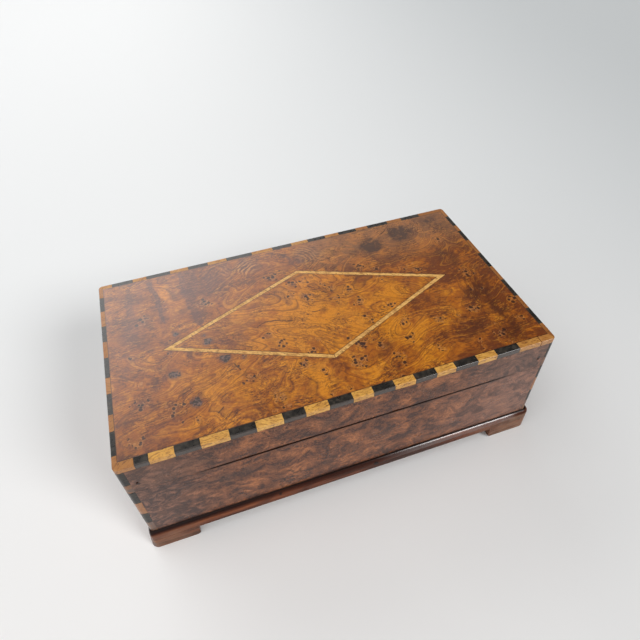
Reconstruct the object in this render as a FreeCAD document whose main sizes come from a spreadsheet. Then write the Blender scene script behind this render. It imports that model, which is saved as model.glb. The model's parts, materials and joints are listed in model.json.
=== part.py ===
import FreeCAD, Part
import os
import Sketcher

# A burr-veneered marquetry box on a plinth with bracket feet, and a lid on two butt hinges.
# The origin is in the middle of the footprint, on the surface that the feet stand on.
# +X runs to the right, +Y to the back and +Z up. Lengths are in millimetres.

SIZES = (
    ("box_length", 280, "carcass over its veneer, left to right"),
    ("box_depth", 156, "carcass over its veneer, front to back"),
    ("base_height", 52.4, "carcass from the plinth to the lid line"),
    ("lid_gap", 0.4, "saw kerf between base and lid"),
    ("lid_height", 27.2, "lid from the lid line to the top"),
    ("wall_thickness", 9, "solid wood of a side, under the veneer"),
    ("bottom_thickness", 6, "bottom board"),
    ("lid_board_thickness", 7, "top board of the lid, under the veneer"),
    ("veneer_thickness", 1, "saw-cut veneer"),
    ("edging_front_width", 5, "block edging along the front, in from the face"),
    ("edging_back_width", 3.8, "block edging along the back, in from the face"),
    ("edging_end_width", 3, "block edging along both ends, in from the face"),
    ("edging_height", 3.9, "block edging round the top, down from the top"),
    ("corner_left_width", 5, "upright edging of the left corners, along the box"),
    ("corner_right_width", 3.6, "upright edging of the right corners, along the box"),
    ("corner_depth", 4.5, "upright edging of all corners, across the box"),
    ("corner_radius", 2.6, "worn upright corners of the carcass"),
    ("lozenge_length", 205.4, "lozenge over its stringing, along the box"),
    ("lozenge_width", 89.2, "lozenge over its stringing, across the box"),
    ("lozenge_right_rise", 2, "right tip of the lozenge towards the back"),
    ("lozenge_back_shift", 1.6, "back tip of the lozenge towards the right"),
    ("stringing_width", 2.7, "boxwood strip round the lozenge"),
    ("plinth_height", 9.6, "plinth strip"),
    ("plinth_width", 16, "plinth strip, in from its face"),
    ("plinth_front_overhang", 2.5, "plinth beyond the carcass at front and back"),
    ("plinth_end_overhang", 3.6, "plinth beyond the carcass at both ends"),
    ("plinth_nose_radius", 4, "rounded upper edge of the plinth"),
    ("plinth_corner_radius", 5.2, "worn upright corners of plinth and feet"),
    ("foot_height", 10.9, "bracket foot"),
    ("foot_length", 33, "bracket foot along its side"),
    ("foot_thickness", 9, "bracket foot, in from its face"),
    ("foot_toe_radius", 3, "rounded lower inner end of a foot"),
    ("glue_block_size", 13, "side of the glue block behind a foot"),
    ("glue_block_lift", 1.2, "glue block clear of the surface"),
    ("hinge_end_distance", 37, "end of the carcass to the end of a hinge"),
    ("hinge_length", 38, "hinge along the box"),
    ("hinge_inset", 2.6, "hinge axis in front of the back face"),
    ("hinge_land", 1, "wall left inside the leaf"),
    ("hinge_leaf_thickness", 1.2, "hinge leaf"),
    ("hinge_pin_radius", 1, "hinge pin"),
    ("hinge_pin_clearance", 0.05, "pin in its knuckles, on the radius"),
    ("hinge_barrel_clearance", 0.3, "round the barrel, on the radius"),
    ("hinge_knuckle_gap", 0.16, "between two knuckles"),
    ("stop_bevel_angle", 50.5, "degrees of bevel on each back edge"),
    ("screw_head_radius", 1.7, "countersunk head"),
    ("screw_shank_radius", 0.9, "shank"),
    ("screw_length", 8, "screw over all"),
    ("screw_slot_width", 0.45, "slot across the head"),
    ("screw_slot_depth", 0.4, "slot across the head"),
    ("nail_radius", 0.8, "nail through a long wall of the lid"),
    ("nail_length", 20, "nail"),
    ("nail_sink", 1.2, "nail head below the face"),
    ("nail_drop", 18, "nail below the top of the lid"),
    ("nail_cover", 1.5, "nail axis from the inner face of the end wall"),
    ("fit_clearance", 0.05, "let-in metal in its wood"),
    ("cut_overrun", 1, "cutting shapes past the faces that they open"),
)

# Lengths of the edging blocks on each side of the lid, anticlockwise from the front left, as shares of
# their sum. Boxwood and ebony take turns, and both ends are boxwood.
EDGING_BLOCK_SHARES = {
    "front": (
        11.5, 8, 14, 14.5, 16.5, 15.5, 16, 13.5, 14.5, 15,
        13, 14, 13.5, 14.5, 13, 15.5, 13.5, 16.5, 15.5, 11,
    ),
    "right": (14.5, 15.5, 13, 18, 15.5, 16.5, 17, 13, 7.5, 13.5, 12),
    "back": (
        22.5, 16, 12.5, 17.5, 10, 15, 11.5, 14.5, 13.5, 15.5,
        16.5, 20, 14.5, 15, 13.5, 17.5, 10, 15, 9.5,
    ),
    "left": (13, 14.5, 15, 15, 14.5, 17, 13, 16, 12, 16.5, 9.5),
}

# Lengths of the blocks in an upright corner, from the top, as shares of their sum: ebony, then boxwood
LID_CORNER_BLOCK_SHARES = (14.5, 9)
BASE_CORNER_BLOCK_SHARES = (13, 14.5, 12.5, 12.5)

# Screws along a hinge leaf, as shares of its length
SCREW_PLACE_SHARES = (0.16, 0.5, 0.84)

HINGE_KNUCKLES = 5
SIDES = ("front", "right", "back", "left")
CORNERS = ("front_left", "front_right", "back_right", "back_left")
CORNER_SIGNS = ((-1, -1), (1, -1), (1, 1), (-1, 1))
EDGING_WIDTHS = (
    "Sizes.edging_front_width", "Sizes.edging_end_width", "Sizes.edging_back_width", "Sizes.edging_end_width",
)

UP = FreeCAD.Vector(0, 0, 1)
ALONG_X = FreeCAD.Rotation(FreeCAD.Vector(0, 1, 0), 90)
ALONG_Y = FreeCAD.Rotation(FreeCAD.Vector(1, 0, 0), -90)

# Places and sizes that follow from the driving dimensions
HALF_LENGTH = "Sizes.box_length / 2"
HALF_DEPTH = "Sizes.box_depth / 2"
PLINTH_HALF_LENGTH = f"({HALF_LENGTH} + Sizes.plinth_end_overhang)"
PLINTH_HALF_DEPTH = f"({HALF_DEPTH} + Sizes.plinth_front_overhang)"
PLINTH_TOP = "(Sizes.foot_height + Sizes.plinth_height)"
BASE_TOP = f"({PLINTH_TOP} + Sizes.base_height)"
LID_BOTTOM = f"({BASE_TOP} + Sizes.lid_gap)"
LID_TOP = f"({LID_BOTTOM} + Sizes.lid_height)"
EDGING_BOTTOM = f"({LID_TOP} - Sizes.edging_height)"
BOARD_TOP = f"({LID_TOP} - Sizes.veneer_thickness)"
BOARD_BOTTOM = f"({BOARD_TOP} - Sizes.lid_board_thickness)"
WALL_LENGTH = "(Sizes.box_length - 2 * Sizes.veneer_thickness)"
WALL_DEPTH = "(Sizes.box_depth - 2 * Sizes.veneer_thickness)"
INNER_LENGTH = f"({WALL_LENGTH} - 2 * Sizes.wall_thickness)"
INNER_DEPTH = f"({WALL_DEPTH} - 2 * Sizes.wall_thickness)"
FIELD_LEFT = f"(Sizes.edging_end_width - {HALF_LENGTH})"
FIELD_FRONT = f"(Sizes.edging_front_width - {HALF_DEPTH})"
FIELD_LENGTH = "(Sizes.box_length - 2 * Sizes.edging_end_width)"
FIELD_DEPTH = "(Sizes.box_depth - Sizes.edging_front_width - Sizes.edging_back_width)"
PANEL_LEFT = f"(Sizes.corner_left_width - {HALF_LENGTH})"
PANEL_FRONT = f"(Sizes.corner_depth - {HALF_DEPTH})"
PANEL_LENGTH = "(Sizes.box_length - Sizes.corner_left_width - Sizes.corner_right_width)"
PANEL_DEPTH = "(Sizes.box_depth - 2 * Sizes.corner_depth)"
LOZENGE_X = "Sizes.lozenge_length / 2"
LOZENGE_Y = "Sizes.lozenge_width / 2"
LOZENGE_SLANT = f"hypot({LOZENGE_X}; {LOZENGE_Y})"
LOZENGE_INNER_SHARE = f"(1 - Sizes.stringing_width * {LOZENGE_SLANT} / ({LOZENGE_X} * {LOZENGE_Y}))"
HINGE_Y = f"({HALF_DEPTH} - Sizes.hinge_inset)"
HINGE_Z = f"({BASE_TOP} + Sizes.lid_gap / 2)"
BARREL_RADIUS = "(Sizes.hinge_pin_radius + Sizes.hinge_leaf_thickness)"
BARREL_ROOM = f"({BARREL_RADIUS} + Sizes.hinge_barrel_clearance)"
LEAF_WIDTH = (
    "(Sizes.veneer_thickness + Sizes.wall_thickness - Sizes.hinge_inset - Sizes.hinge_land)"
)
SCREW_Y = f"({HINGE_Y} - ({BARREL_ROOM} + {LEAF_WIDTH}) / 2)"
SCREW_HEAD_HEIGHT = "(Sizes.screw_head_radius - Sizes.screw_shank_radius)"
NAIL_X = f"({INNER_LENGTH} / 2 + Sizes.nail_cover)"

doc = FreeCAD.newDocument("marquetry_box")
sheet = doc.addObject("Spreadsheet::Sheet", "Sizes")
nodes = []


def fill_sheet():
    for row, (alias, number, meaning) in enumerate(SIZES, 1):
        sheet.set(f"A{row}", meaning)
        sheet.set(f"B{row}", str(number))
        sheet.setAlias(f"B{row}", alias)
    doc.recompute()


def value(expression):
    return float(sheet.evalExpression(expression))


def bind(item, **expressions):
    for name, expression in expressions.items():
        item.setExpression(name, expression)
    return item


def place(item, x, y, z, rotation=FreeCAD.Rotation()):
    item.Placement = FreeCAD.Placement(FreeCAD.Vector(), rotation)
    for axis, expression in zip("xyz", (x, y, z)):
        item.setExpression(f"Placement.Base.{axis}", expression)
    return item


def node(item):
    """Marks a finished piece, whose label names its file."""
    nodes.append(item)
    return item


def block(name, x, y, z, length, depth, height):
    """A board or block with its lowest corner at x, y, z."""
    item = bind(doc.addObject("Part::Box", name), Length=length, Width=depth, Height=height)
    return place(item, x, y, z)


def rod(name, radius, length, x, y, z, rotation=FreeCAD.Rotation()):
    item = bind(doc.addObject("Part::Cylinder", name), Radius=radius, Height=length)
    return place(item, x, y, z, rotation)


def cut(name, item, *tools):
    for step, tool in enumerate(tools, 1):
        last = step == len(tools)
        result = doc.addObject("Part::Cut", name if last else f"{name}_cut_{step}")
        result.Base = item
        result.Tool = tool
        item = result
    return item


def common(name, item, tool):
    result = doc.addObject("Part::Common", name)
    result.Base = item
    result.Tool = tool
    return result


def fuse(name, *items):
    result = doc.addObject("Part::MultiFuse", name)
    result.Shapes = list(items)
    return result


def group(name, items):
    """Separate solids kept together under one name."""
    result = doc.addObject("Part::Compound", name)
    result.Links = list(items)
    return result


def fillet(name, item, radius, x, y, z):
    """Rounds the edge whose middle is nearest to a point given in the piece's own axes."""
    doc.recompute()
    point = FreeCAD.Vector(value(x), value(y), value(z))
    target = item.Placement.multVec(point)
    distances = [edge.CenterOfMass.distanceToPoint(target) for edge in item.Shape.Edges]
    number = distances.index(min(distances)) + 1
    result = doc.addObject("Part::Fillet", name)
    result.Base = item
    result.Edges = [(number, value(radius), value(radius))]
    return result


def strip(name, side, outline, z, start, end, width, height, start_inset="0", end_inset="0"):
    """A straight piece along one side of an outline, with its outer face on it; insets mitre its ends."""
    item = bind(
        doc.addObject("Part::Wedge", name),
        Xmin=start,
        Xmax=end,
        X2min=f"{start} + {start_inset}",
        X2max=f"{end} - {end_inset}",
        Ymin="0",
        Ymax=width,
        Zmin="0",
        Zmax=height,
        Z2min="0",
        Z2max=height,
    )
    turn = SIDES.index(side)
    x_sign, y_sign = CORNER_SIGNS[turn]
    half_length, half_depth = outline
    rotation = FreeCAD.Rotation(UP, 90 * turn)
    return place(item, f"{x_sign} * {half_length}", f"{y_sign} * {half_depth}", z, rotation)


def corner_block(name, x_sign, y_sign, z, height):
    """A block that fills an upright corner of the carcass, as wide as the edging of that corner."""
    width = "Sizes.corner_left_width" if x_sign < 0 else "Sizes.corner_right_width"
    depth = "Sizes.corner_depth"
    x = f"{x_sign} * ({HALF_LENGTH} - {width} / 2) - {width} / 2"
    y = f"{y_sign} * ({HALF_DEPTH} - {depth} / 2) - {depth} / 2"
    return block(name, x, y, z, width, depth, height)


def side_length(side, outline):
    half_length, half_depth = outline
    return f"(2 * {half_length})" if side in ("front", "back") else f"(2 * {half_depth})"


def rounded_envelope(name, outline, radius, height, nose_radius=None):
    """A block over the outline with rounded edges, which shapes the pieces; the nose is its top edge."""
    half_length, half_depth = outline
    body = doc.addObject("PartDesign::Body", name)
    solid = body.newObject("PartDesign::AdditiveBox", f"{name}_block")
    bind(solid, Length=f"2 * {half_length}", Width=f"2 * {half_depth}", Height=height)
    doc.recompute()
    upright = [
        f"Edge{number}"
        for number, edge in enumerate(solid.Shape.Edges, 1)
        if edge.BoundBox.ZLength > edge.Length / 2
    ]
    rounding = body.newObject("PartDesign::Fillet", f"{name}_rounding")
    rounding.Base = (solid, upright)
    bind(rounding, Radius=radius)
    if nose_radius:
        doc.recompute()
        middle = rounding.Shape.BoundBox.Center.z
        top = [
            f"Edge{number}"
            for number, edge in enumerate(rounding.Shape.Edges, 1)
            if edge.BoundBox.ZMin > middle
        ]
        nosing = body.newObject("PartDesign::Fillet", f"{name}_nosing")
        nosing.Base = (rounding, top)
        bind(nosing, Radius=nose_radius)
    return place(body, f"-{half_length}", f"-{half_depth}", "0")


def pin_coordinate(sketch, kind, axis, line, sign, expression):
    """Fixes one coordinate of a line's start: on the axis for sign 0, else at a distance on that side."""
    if sign == 0:
        sketch.addConstraint(Sketcher.Constraint("PointOnObject", line, 1, axis))
        return
    ends = (-1, 1, line, 1) if sign > 0 else (line, 1, -1, 1)
    number = sketch.addConstraint(Sketcher.Constraint(kind, *ends, value(expression)))
    sketch.setExpression(f"Constraints[{number}]", expression)


def prism(name, points, z, height):
    """An upright prism; each point is (x sign, x expression, y sign, y expression)."""
    body = doc.addObject("PartDesign::Body", name)
    sketch = body.newObject("Sketcher::SketchObject", f"{name}_outline")
    plane = next(item for item in body.Origin.OriginFeatures if item.Role == "XY_Plane")
    sketch.AttachmentSupport = (plane, [""])
    sketch.MapMode = "FlatFace"
    places = [FreeCAD.Vector(xs * value(px), ys * value(py), 0) for xs, px, ys, py in points]
    count = len(places)
    for line in range(count):
        sketch.addGeometry(Part.LineSegment(places[line], places[(line + 1) % count]))
    for line in range(count):
        sketch.addConstraint(Sketcher.Constraint("Coincident", line, 2, (line + 1) % count, 1))
    for line, (x_sign, point_x, y_sign, point_y) in enumerate(points):
        pin_coordinate(sketch, "DistanceX", -2, line, x_sign, point_x)
        pin_coordinate(sketch, "DistanceY", -1, line, y_sign, point_y)
    pad = body.newObject("PartDesign::Pad", f"{name}_pad")
    pad.Profile = sketch
    bind(pad, Length=height)
    return place(body, "0", "0", z)


def lozenge_points(share):
    """Tips of the lozenge in the order of SIDES; it was cut by hand, so two of them are off its axes."""
    x = f"{LOZENGE_X} * {share}"
    y = f"{LOZENGE_Y} * {share}"
    rise = f"Sizes.lozenge_right_rise * {share}"
    shift = f"Sizes.lozenge_back_shift * {share}"
    return (0, "0", -1, y), (1, x, 1, rise), (1, shift, 1, y), (-1, x, 0, "0")


# Feet: two brackets mitred together at each corner, with a glue block behind them
def make_feet(outline, envelope):
    for number, corner in enumerate(CORNERS):
        for side in (SIDES[number], SIDES[number - 1]):
            starts = side == SIDES[number]
            name = f"foot_{corner}_{side}_bracket"
            length = side_length(side, outline)
            start = "0" if starts else f"({length} - Sizes.foot_length)"
            end = "Sizes.foot_length" if starts else length
            toe = end if starts else start
            insets = ("Sizes.foot_thickness", "0") if starts else ("0", "Sizes.foot_thickness")
            blank = strip(
                f"{name}_blank", side, outline, "0", start, end,
                "Sizes.foot_thickness", "Sizes.foot_height", *insets,
            )
            shaped = fillet(
                f"{name}_toe", blank, "Sizes.foot_toe_radius", toe, "Sizes.foot_thickness / 2", "0"
            )
            node(common(name, shaped, envelope))
    blocks = []
    size = "Sizes.glue_block_size"
    for corner, (x_sign, y_sign) in zip(CORNERS, CORNER_SIGNS):
        half_length, half_depth = outline
        x = f"{x_sign} * ({half_length} - Sizes.foot_thickness - {size} / 2) - {size} / 2"
        y = f"{y_sign} * ({half_depth} - Sizes.foot_thickness - {size} / 2) - {size} / 2"
        height = "Sizes.foot_height - Sizes.glue_block_lift"
        blocks.append(block(f"glue_block_{corner}", x, y, "Sizes.glue_block_lift", size, size, height))
    node(group("foot_glue_blocks", blocks))


# Plinth: four mitred strips with a rounded upper edge
def make_plinth(outline, envelope):
    for side in SIDES:
        name = f"plinth_{side}"
        length = side_length(side, outline)
        blank = strip(
            f"{name}_blank", side, outline, "Sizes.foot_height", "0", length,
            "Sizes.plinth_width", "Sizes.plinth_height", "Sizes.plinth_width", "Sizes.plinth_width",
        )
        node(common(name, blank, envelope))


# Cutting shapes for the upright corner edging, which is let into the carcass
def make_corner_rebates():
    rebates = []
    z = f"{PLINTH_TOP} - Sizes.cut_overrun"
    height = f"{EDGING_BOTTOM} - {PLINTH_TOP} + Sizes.cut_overrun"
    for corner, (x_sign, y_sign) in zip(CORNERS, CORNER_SIGNS):
        rebates.append(corner_block(f"corner_rebate_{corner}", x_sign, y_sign, z, height))
    return group("corner_rebates", rebates)


# Cutting shapes for the bevels on the two back edges, which meet when the lid is fully open
def make_stop_bevel(name, direction):
    depth = "(Sizes.hinge_inset + Sizes.cut_overrun)"
    drop = f"{depth} * tan(Sizes.stop_bevel_angle)"
    low, high = ("0", "Sizes.lid_gap") if direction < 0 else ("-Sizes.lid_gap", "0")
    item = bind(
        doc.addObject("Part::Wedge", name),
        Xmin="0",
        Xmax="Sizes.box_length + 2 * Sizes.cut_overrun",
        X2min="0",
        X2max="Sizes.box_length + 2 * Sizes.cut_overrun",
        Ymin="0",
        Ymax=depth,
        Zmin=low,
        Zmax=high,
        Z2min=f"-{drop}" if direction < 0 else low,
        Z2max=high if direction < 0 else drop,
    )
    return place(item, f"-{HALF_LENGTH} - Sizes.cut_overrun", HINGE_Y, HINGE_Z)


def screw_form(name, x, seat, direction, clearance):
    """A countersunk screw whose head lies flush at seat; direction is where its point goes, up or down."""
    shank = f"Sizes.screw_shank_radius + {clearance}"
    head = f"Sizes.screw_head_radius + {clearance}"
    length = f"Sizes.screw_length + {clearance}"
    shank_foot = seat if direction > 0 else f"{seat} - ({length})"
    cone_foot = seat if direction > 0 else f"{seat} - {SCREW_HEAD_HEIGHT}"
    low, high = (head, shank) if direction > 0 else (shank, head)
    stem = rod(f"{name}_shank", shank, length, x, SCREW_Y, shank_foot)
    cone = doc.addObject("Part::Cone", f"{name}_head")
    bind(cone, Radius1=low, Radius2=high, Height=SCREW_HEAD_HEIGHT)
    place(cone, x, SCREW_Y, cone_foot)
    return fuse(name, stem, cone)


def slotted_screw(name, x, seat, direction):
    form = screw_form(f"{name}_form", x, seat, direction, "0")
    width = "Sizes.screw_slot_width"
    length = "2 * Sizes.screw_head_radius"
    slot_foot = seat if direction > 0 else f"{seat} - Sizes.screw_slot_depth"
    slot = block(
        f"{name}_slot", f"{x} - {width} / 2", f"{SCREW_Y} - {length} / 2", slot_foot,
        width, length, "Sizes.screw_slot_depth",
    )
    return cut(name, form, slot)


def knuckle(name, number, start, radius, gap_sign):
    """One turn of the barrel, shortened by half a gap at each end, or lengthened for the room it needs."""
    pitch = f"Sizes.hinge_length / {HINGE_KNUCKLES}"
    x = f"{start} + {number} * {pitch} - {gap_sign} * Sizes.hinge_knuckle_gap / 2"
    length = f"{pitch} + {gap_sign} * Sizes.hinge_knuckle_gap"
    return rod(name, radius, length, x, HINGE_Y, HINGE_Z, ALONG_X)


def hinge_leaf(name, start, plate_foot, own, screw_holes):
    """A flat leaf with its own knuckles, cut clear of the other leaf's knuckles, the pin and the screws."""
    others = [number for number in range(HINGE_KNUCKLES) if number not in own]
    plate = block(
        f"{name}_plate", start, f"{HINGE_Y} - {LEAF_WIDTH}", plate_foot,
        "Sizes.hinge_length", LEAF_WIDTH, "Sizes.hinge_leaf_thickness",
    )
    turns = [knuckle(f"{name}_knuckle_{n}", n, start, BARREL_RADIUS, -1) for n in own]
    room = [knuckle(f"{name}_room_{n}", n, start, BARREL_ROOM, 1) for n in others]
    bore = rod(
        f"{name}_bore", "Sizes.hinge_pin_radius + Sizes.hinge_pin_clearance",
        "Sizes.hinge_length + 2 * Sizes.cut_overrun",
        f"{start} - Sizes.cut_overrun", HINGE_Y, HINGE_Z, ALONG_X,
    )
    solid = fuse(f"{name}_solid", plate, *turns)
    return node(cut(name, solid, group(f"{name}_rooms", room), bore, *screw_holes))


# Hinges: two leaves, a pin and screws each; returns what they need cut from the back of base and lid
def make_hinges():
    base_screws, lid_screws = [], []
    base_voids, lid_voids = [], []
    for side, sign in (("left", -1), ("right", 1)):
        middle = f"({HALF_LENGTH} - Sizes.hinge_end_distance - Sizes.hinge_length / 2)"
        start = f"({sign} * {middle} - Sizes.hinge_length / 2)"
        for part, seat, direction, screws, voids, own in (
            ("base", BASE_TOP, -1, base_screws, base_voids, range(0, HINGE_KNUCKLES, 2)),
            ("lid", LID_BOTTOM, 1, lid_screws, lid_voids, range(1, HINGE_KNUCKLES, 2)),
        ):
            name = f"{part}_hinge_leaf_{side}"
            holes = []
            for number, share in enumerate(SCREW_PLACE_SHARES, 1):
                x = f"({start} + {share} * Sizes.hinge_length)"
                holes.append(screw_form(f"{name}_hole_{number}", x, seat, direction, "Sizes.fit_clearance"))
                screws.append(slotted_screw(f"{name}_screw_{number}", x, seat, direction))
            plate_foot = seat if direction > 0 else f"{seat} - Sizes.hinge_leaf_thickness"
            hinge_leaf(name, start, plate_foot, own, holes)
            fit = "Sizes.fit_clearance"
            mortise_foot = f"{seat} - Sizes.cut_overrun" if direction > 0 else plate_foot
            mortise = block(
                f"{name}_mortise", f"{start} - {fit}", f"{HINGE_Y} - {LEAF_WIDTH} - {fit}", mortise_foot,
                f"Sizes.hinge_length + 2 * {fit}", f"{LEAF_WIDTH} + {fit}",
                "Sizes.hinge_leaf_thickness + Sizes.cut_overrun",
            )
            groove = rod(
                f"{name}_groove", BARREL_ROOM, f"Sizes.hinge_length + 2 * {fit}",
                f"{start} - {fit}", HINGE_Y, HINGE_Z, ALONG_X,
            )
            voids.append(fuse(f"{name}_room", mortise, groove, *holes))
        node(rod(
            f"hinge_pin_{side}", "Sizes.hinge_pin_radius", "Sizes.hinge_length",
            start, HINGE_Y, HINGE_Z, ALONG_X,
        ))
    node(group("base_hinge_screws", base_screws))
    node(group("lid_hinge_screws", lid_screws))
    return base_voids, lid_voids


# Nails through the long walls of the lid into its end walls; returns their holes
def make_nails():
    nails, holes = [], []
    for corner, (x_sign, y_sign) in zip(CORNERS, CORNER_SIGNS):
        x = f"{x_sign} * {NAIL_X}"
        z = f"{LID_TOP} - Sizes.nail_drop"
        depth = "(Sizes.nail_sink + Sizes.nail_length)"
        head_y = f"-{HALF_DEPTH} + Sizes.nail_sink" if y_sign < 0 else f"{HALF_DEPTH} - {depth}"
        hole_y = f"-{HALF_DEPTH} - Sizes.cut_overrun" if y_sign < 0 else f"{HALF_DEPTH} - {depth}"
        nails.append(rod(f"nail_{corner}", "Sizes.nail_radius", "Sizes.nail_length", x, head_y, z, ALONG_Y))
        holes.append(rod(
            f"nail_hole_{corner}", "Sizes.nail_radius + Sizes.fit_clearance",
            f"{depth} + Sizes.cut_overrun", x, hole_y, z, ALONG_Y,
        ))
    node(group("lid_nails", nails))
    return group("nail_holes", holes)


# Carcass walls: the long ones run the full length and the ends stand between them
def make_walls(part, z, height, rebates, long_cuts, end_cuts):
    for side in ("front", "back"):
        y = f"-{WALL_DEPTH} / 2" if side == "front" else f"{WALL_DEPTH} / 2 - Sizes.wall_thickness"
        name = f"{part}_{side}_wall"
        x = f"-{WALL_LENGTH} / 2"
        blank = block(f"{name}_blank", x, y, z, WALL_LENGTH, "Sizes.wall_thickness", height)
        node(cut(name, blank, rebates, *long_cuts[side]))
    for side in ("left", "right"):
        x = f"-{WALL_LENGTH} / 2" if side == "left" else f"{WALL_LENGTH} / 2 - Sizes.wall_thickness"
        name = f"{part}_{side}_wall"
        blank_name = f"{name}_blank" if end_cuts else name
        wall = block(blank_name, x, f"-{INNER_DEPTH} / 2", z, "Sizes.wall_thickness", INNER_DEPTH, height)
        node(cut(name, wall, *end_cuts) if end_cuts else wall)


# Side veneers, between the upright corner edgings
def make_side_veneers(part, z, height, cuts):
    thickness = "Sizes.veneer_thickness"
    for side in SIDES:
        name = f"{part}_{side}_veneer"
        blank_name = f"{name}_blank" if cuts[side] else name
        if side in ("front", "back"):
            y = f"-{HALF_DEPTH}" if side == "front" else f"{HALF_DEPTH} - {thickness}"
            sheet_of_wood = block(blank_name, PANEL_LEFT, y, z, PANEL_LENGTH, thickness, height)
        else:
            x = f"-{HALF_LENGTH}" if side == "left" else f"{HALF_LENGTH} - {thickness}"
            sheet_of_wood = block(blank_name, x, PANEL_FRONT, z, thickness, PANEL_DEPTH, height)
        node(cut(name, sheet_of_wood, *cuts[side]) if cuts[side] else sheet_of_wood)


# Upright corner edging: blocks of ebony and boxwood in turn, from the top down
def make_corner_edging(part, top, height, shares, envelope, bevel, bevelled_block):
    woods = {"ebony": [], "boxwood": []}
    for corner, (x_sign, y_sign) in zip(CORNERS, CORNER_SIGNS):
        depth_share = 0
        for number, share in enumerate(shares):
            depth_share += share / sum(shares)
            name = f"{part}_corner_{corner}_{number}"
            z = f"{top} - {height} * {depth_share}"
            blank = corner_block(f"{name}_blank", x_sign, y_sign, z, f"{height} * {share / sum(shares)}")
            piece = common(name, blank, envelope)
            if y_sign > 0 and number == bevelled_block:
                piece = cut(f"{name}_bevelled", piece, bevel)
            woods["boxwood" if number % 2 else "ebony"].append(piece)
    for wood, pieces in woods.items():
        node(group(f"{part}_corner_{wood}_blocks", pieces))


# Block edging round the top of the lid: boxwood and ebony in turn, mitred at the corners
def make_lid_edging(envelope):
    outline = (HALF_LENGTH, HALF_DEPTH)
    for turn, side in enumerate(SIDES):
        shares = EDGING_BLOCK_SHARES[side]
        length = side_length(side, outline)
        inset_before = EDGING_WIDTHS[turn - 1]
        inset_after = EDGING_WIDTHS[(turn + 1) % len(SIDES)]
        woods = {"ebony": [], "boxwood": []}
        end_share = 0
        for number, share in enumerate(shares):
            first = number == 0
            last = number == len(shares) - 1
            start = f"({length} * {end_share})"
            end_share += share / sum(shares)
            end = length if last else f"({length} * {end_share})"
            name = f"edging_{side}_{number}"
            piece = strip(
                name, side, outline, EDGING_BOTTOM, start, end, EDGING_WIDTHS[turn], "Sizes.edging_height",
                inset_before if first else "0", inset_after if last else "0",
            )
            if first or last:
                piece = common(f"{name}_rounded", piece, envelope)
            woods["ebony" if number % 2 and not last else "boxwood"].append(piece)
        for wood, pieces in woods.items():
            node(group(f"lid_{side}_edging_{wood}", pieces))


# Top of the lid: a board, the burr field, the lozenge and its four strips of stringing
def make_lid_top(rebates):
    rebate_depth = "(Sizes.edging_height - Sizes.veneer_thickness)"
    lower = block(
        "lid_top_board_lower", f"-{WALL_LENGTH} / 2", f"-{WALL_DEPTH} / 2", BOARD_BOTTOM,
        WALL_LENGTH, WALL_DEPTH, f"Sizes.lid_board_thickness - {rebate_depth}",
    )
    upper = block(
        "lid_top_board_upper", FIELD_LEFT, FIELD_FRONT, EDGING_BOTTOM,
        FIELD_LENGTH, FIELD_DEPTH, rebate_depth,
    )
    node(cut("lid_top_board", fuse("lid_top_board_blank", lower, upper), rebates))
    field = block(
        "lid_top_veneer_blank", FIELD_LEFT, FIELD_FRONT, BOARD_TOP,
        FIELD_LENGTH, FIELD_DEPTH, "Sizes.veneer_thickness",
    )
    opening = prism(
        "lozenge_opening", lozenge_points(1), f"{BOARD_TOP} - Sizes.cut_overrun",
        "Sizes.veneer_thickness + 2 * Sizes.cut_overrun",
    )
    node(cut("lid_top_veneer", field, opening))
    lozenge = lozenge_points(LOZENGE_INNER_SHARE)
    node(prism("lid_lozenge_veneer", lozenge, BOARD_TOP, "Sizes.veneer_thickness"))
    outer = lozenge_points(1)
    for number, corner in enumerate(CORNERS):
        points = (outer[number - 1], outer[number], lozenge[number], lozenge[number - 1])
        node(prism(f"lid_stringing_{corner}", points, BOARD_TOP, "Sizes.veneer_thickness"))


def make_box():
    carcass_outline = (HALF_LENGTH, HALF_DEPTH)
    plinth_outline = (PLINTH_HALF_LENGTH, PLINTH_HALF_DEPTH)
    carcass_envelope = rounded_envelope("carcass_envelope", carcass_outline, "Sizes.corner_radius", LID_TOP)
    plinth_envelope = rounded_envelope(
        "plinth_envelope", plinth_outline, "Sizes.plinth_corner_radius", PLINTH_TOP,
        "Sizes.plinth_nose_radius",
    )
    make_feet(plinth_outline, plinth_envelope)
    make_plinth(plinth_outline, plinth_envelope)

    rebates = make_corner_rebates()
    base_bevel = make_stop_bevel("base_stop_bevel", -1)
    lid_bevel = make_stop_bevel("lid_stop_bevel", 1)
    base_voids, lid_voids = make_hinges()
    nail_holes = make_nails()

    node(block(
        "bottom_board", f"-{INNER_LENGTH} / 2", f"-{INNER_DEPTH} / 2", PLINTH_TOP,
        INNER_LENGTH, INNER_DEPTH, "Sizes.bottom_thickness",
    ))
    base_cuts = {"front": (), "right": (), "back": (base_bevel, *base_voids), "left": ()}
    make_walls("base", PLINTH_TOP, "Sizes.base_height", rebates, base_cuts, ())
    make_side_veneers("base", PLINTH_TOP, "Sizes.base_height", base_cuts)
    make_corner_edging(
        "base", BASE_TOP, "Sizes.base_height", BASE_CORNER_BLOCK_SHARES, carcass_envelope, base_bevel, 0
    )

    lid_cuts = {"front": (nail_holes,), "right": (), "back": (lid_bevel, *lid_voids, nail_holes), "left": ()}
    make_walls("lid", LID_BOTTOM, f"{BOARD_BOTTOM} - {LID_BOTTOM}", rebates, lid_cuts, (nail_holes,))
    make_side_veneers("lid", LID_BOTTOM, "Sizes.lid_height - Sizes.edging_height", lid_cuts)
    make_corner_edging(
        "lid", EDGING_BOTTOM, "(Sizes.lid_height - Sizes.edging_height)", LID_CORNER_BLOCK_SHARES,
        carcass_envelope, lid_bevel, len(LID_CORNER_BLOCK_SHARES) - 1,
    )
    make_lid_edging(carcass_envelope)
    make_lid_top(rebates)


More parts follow.
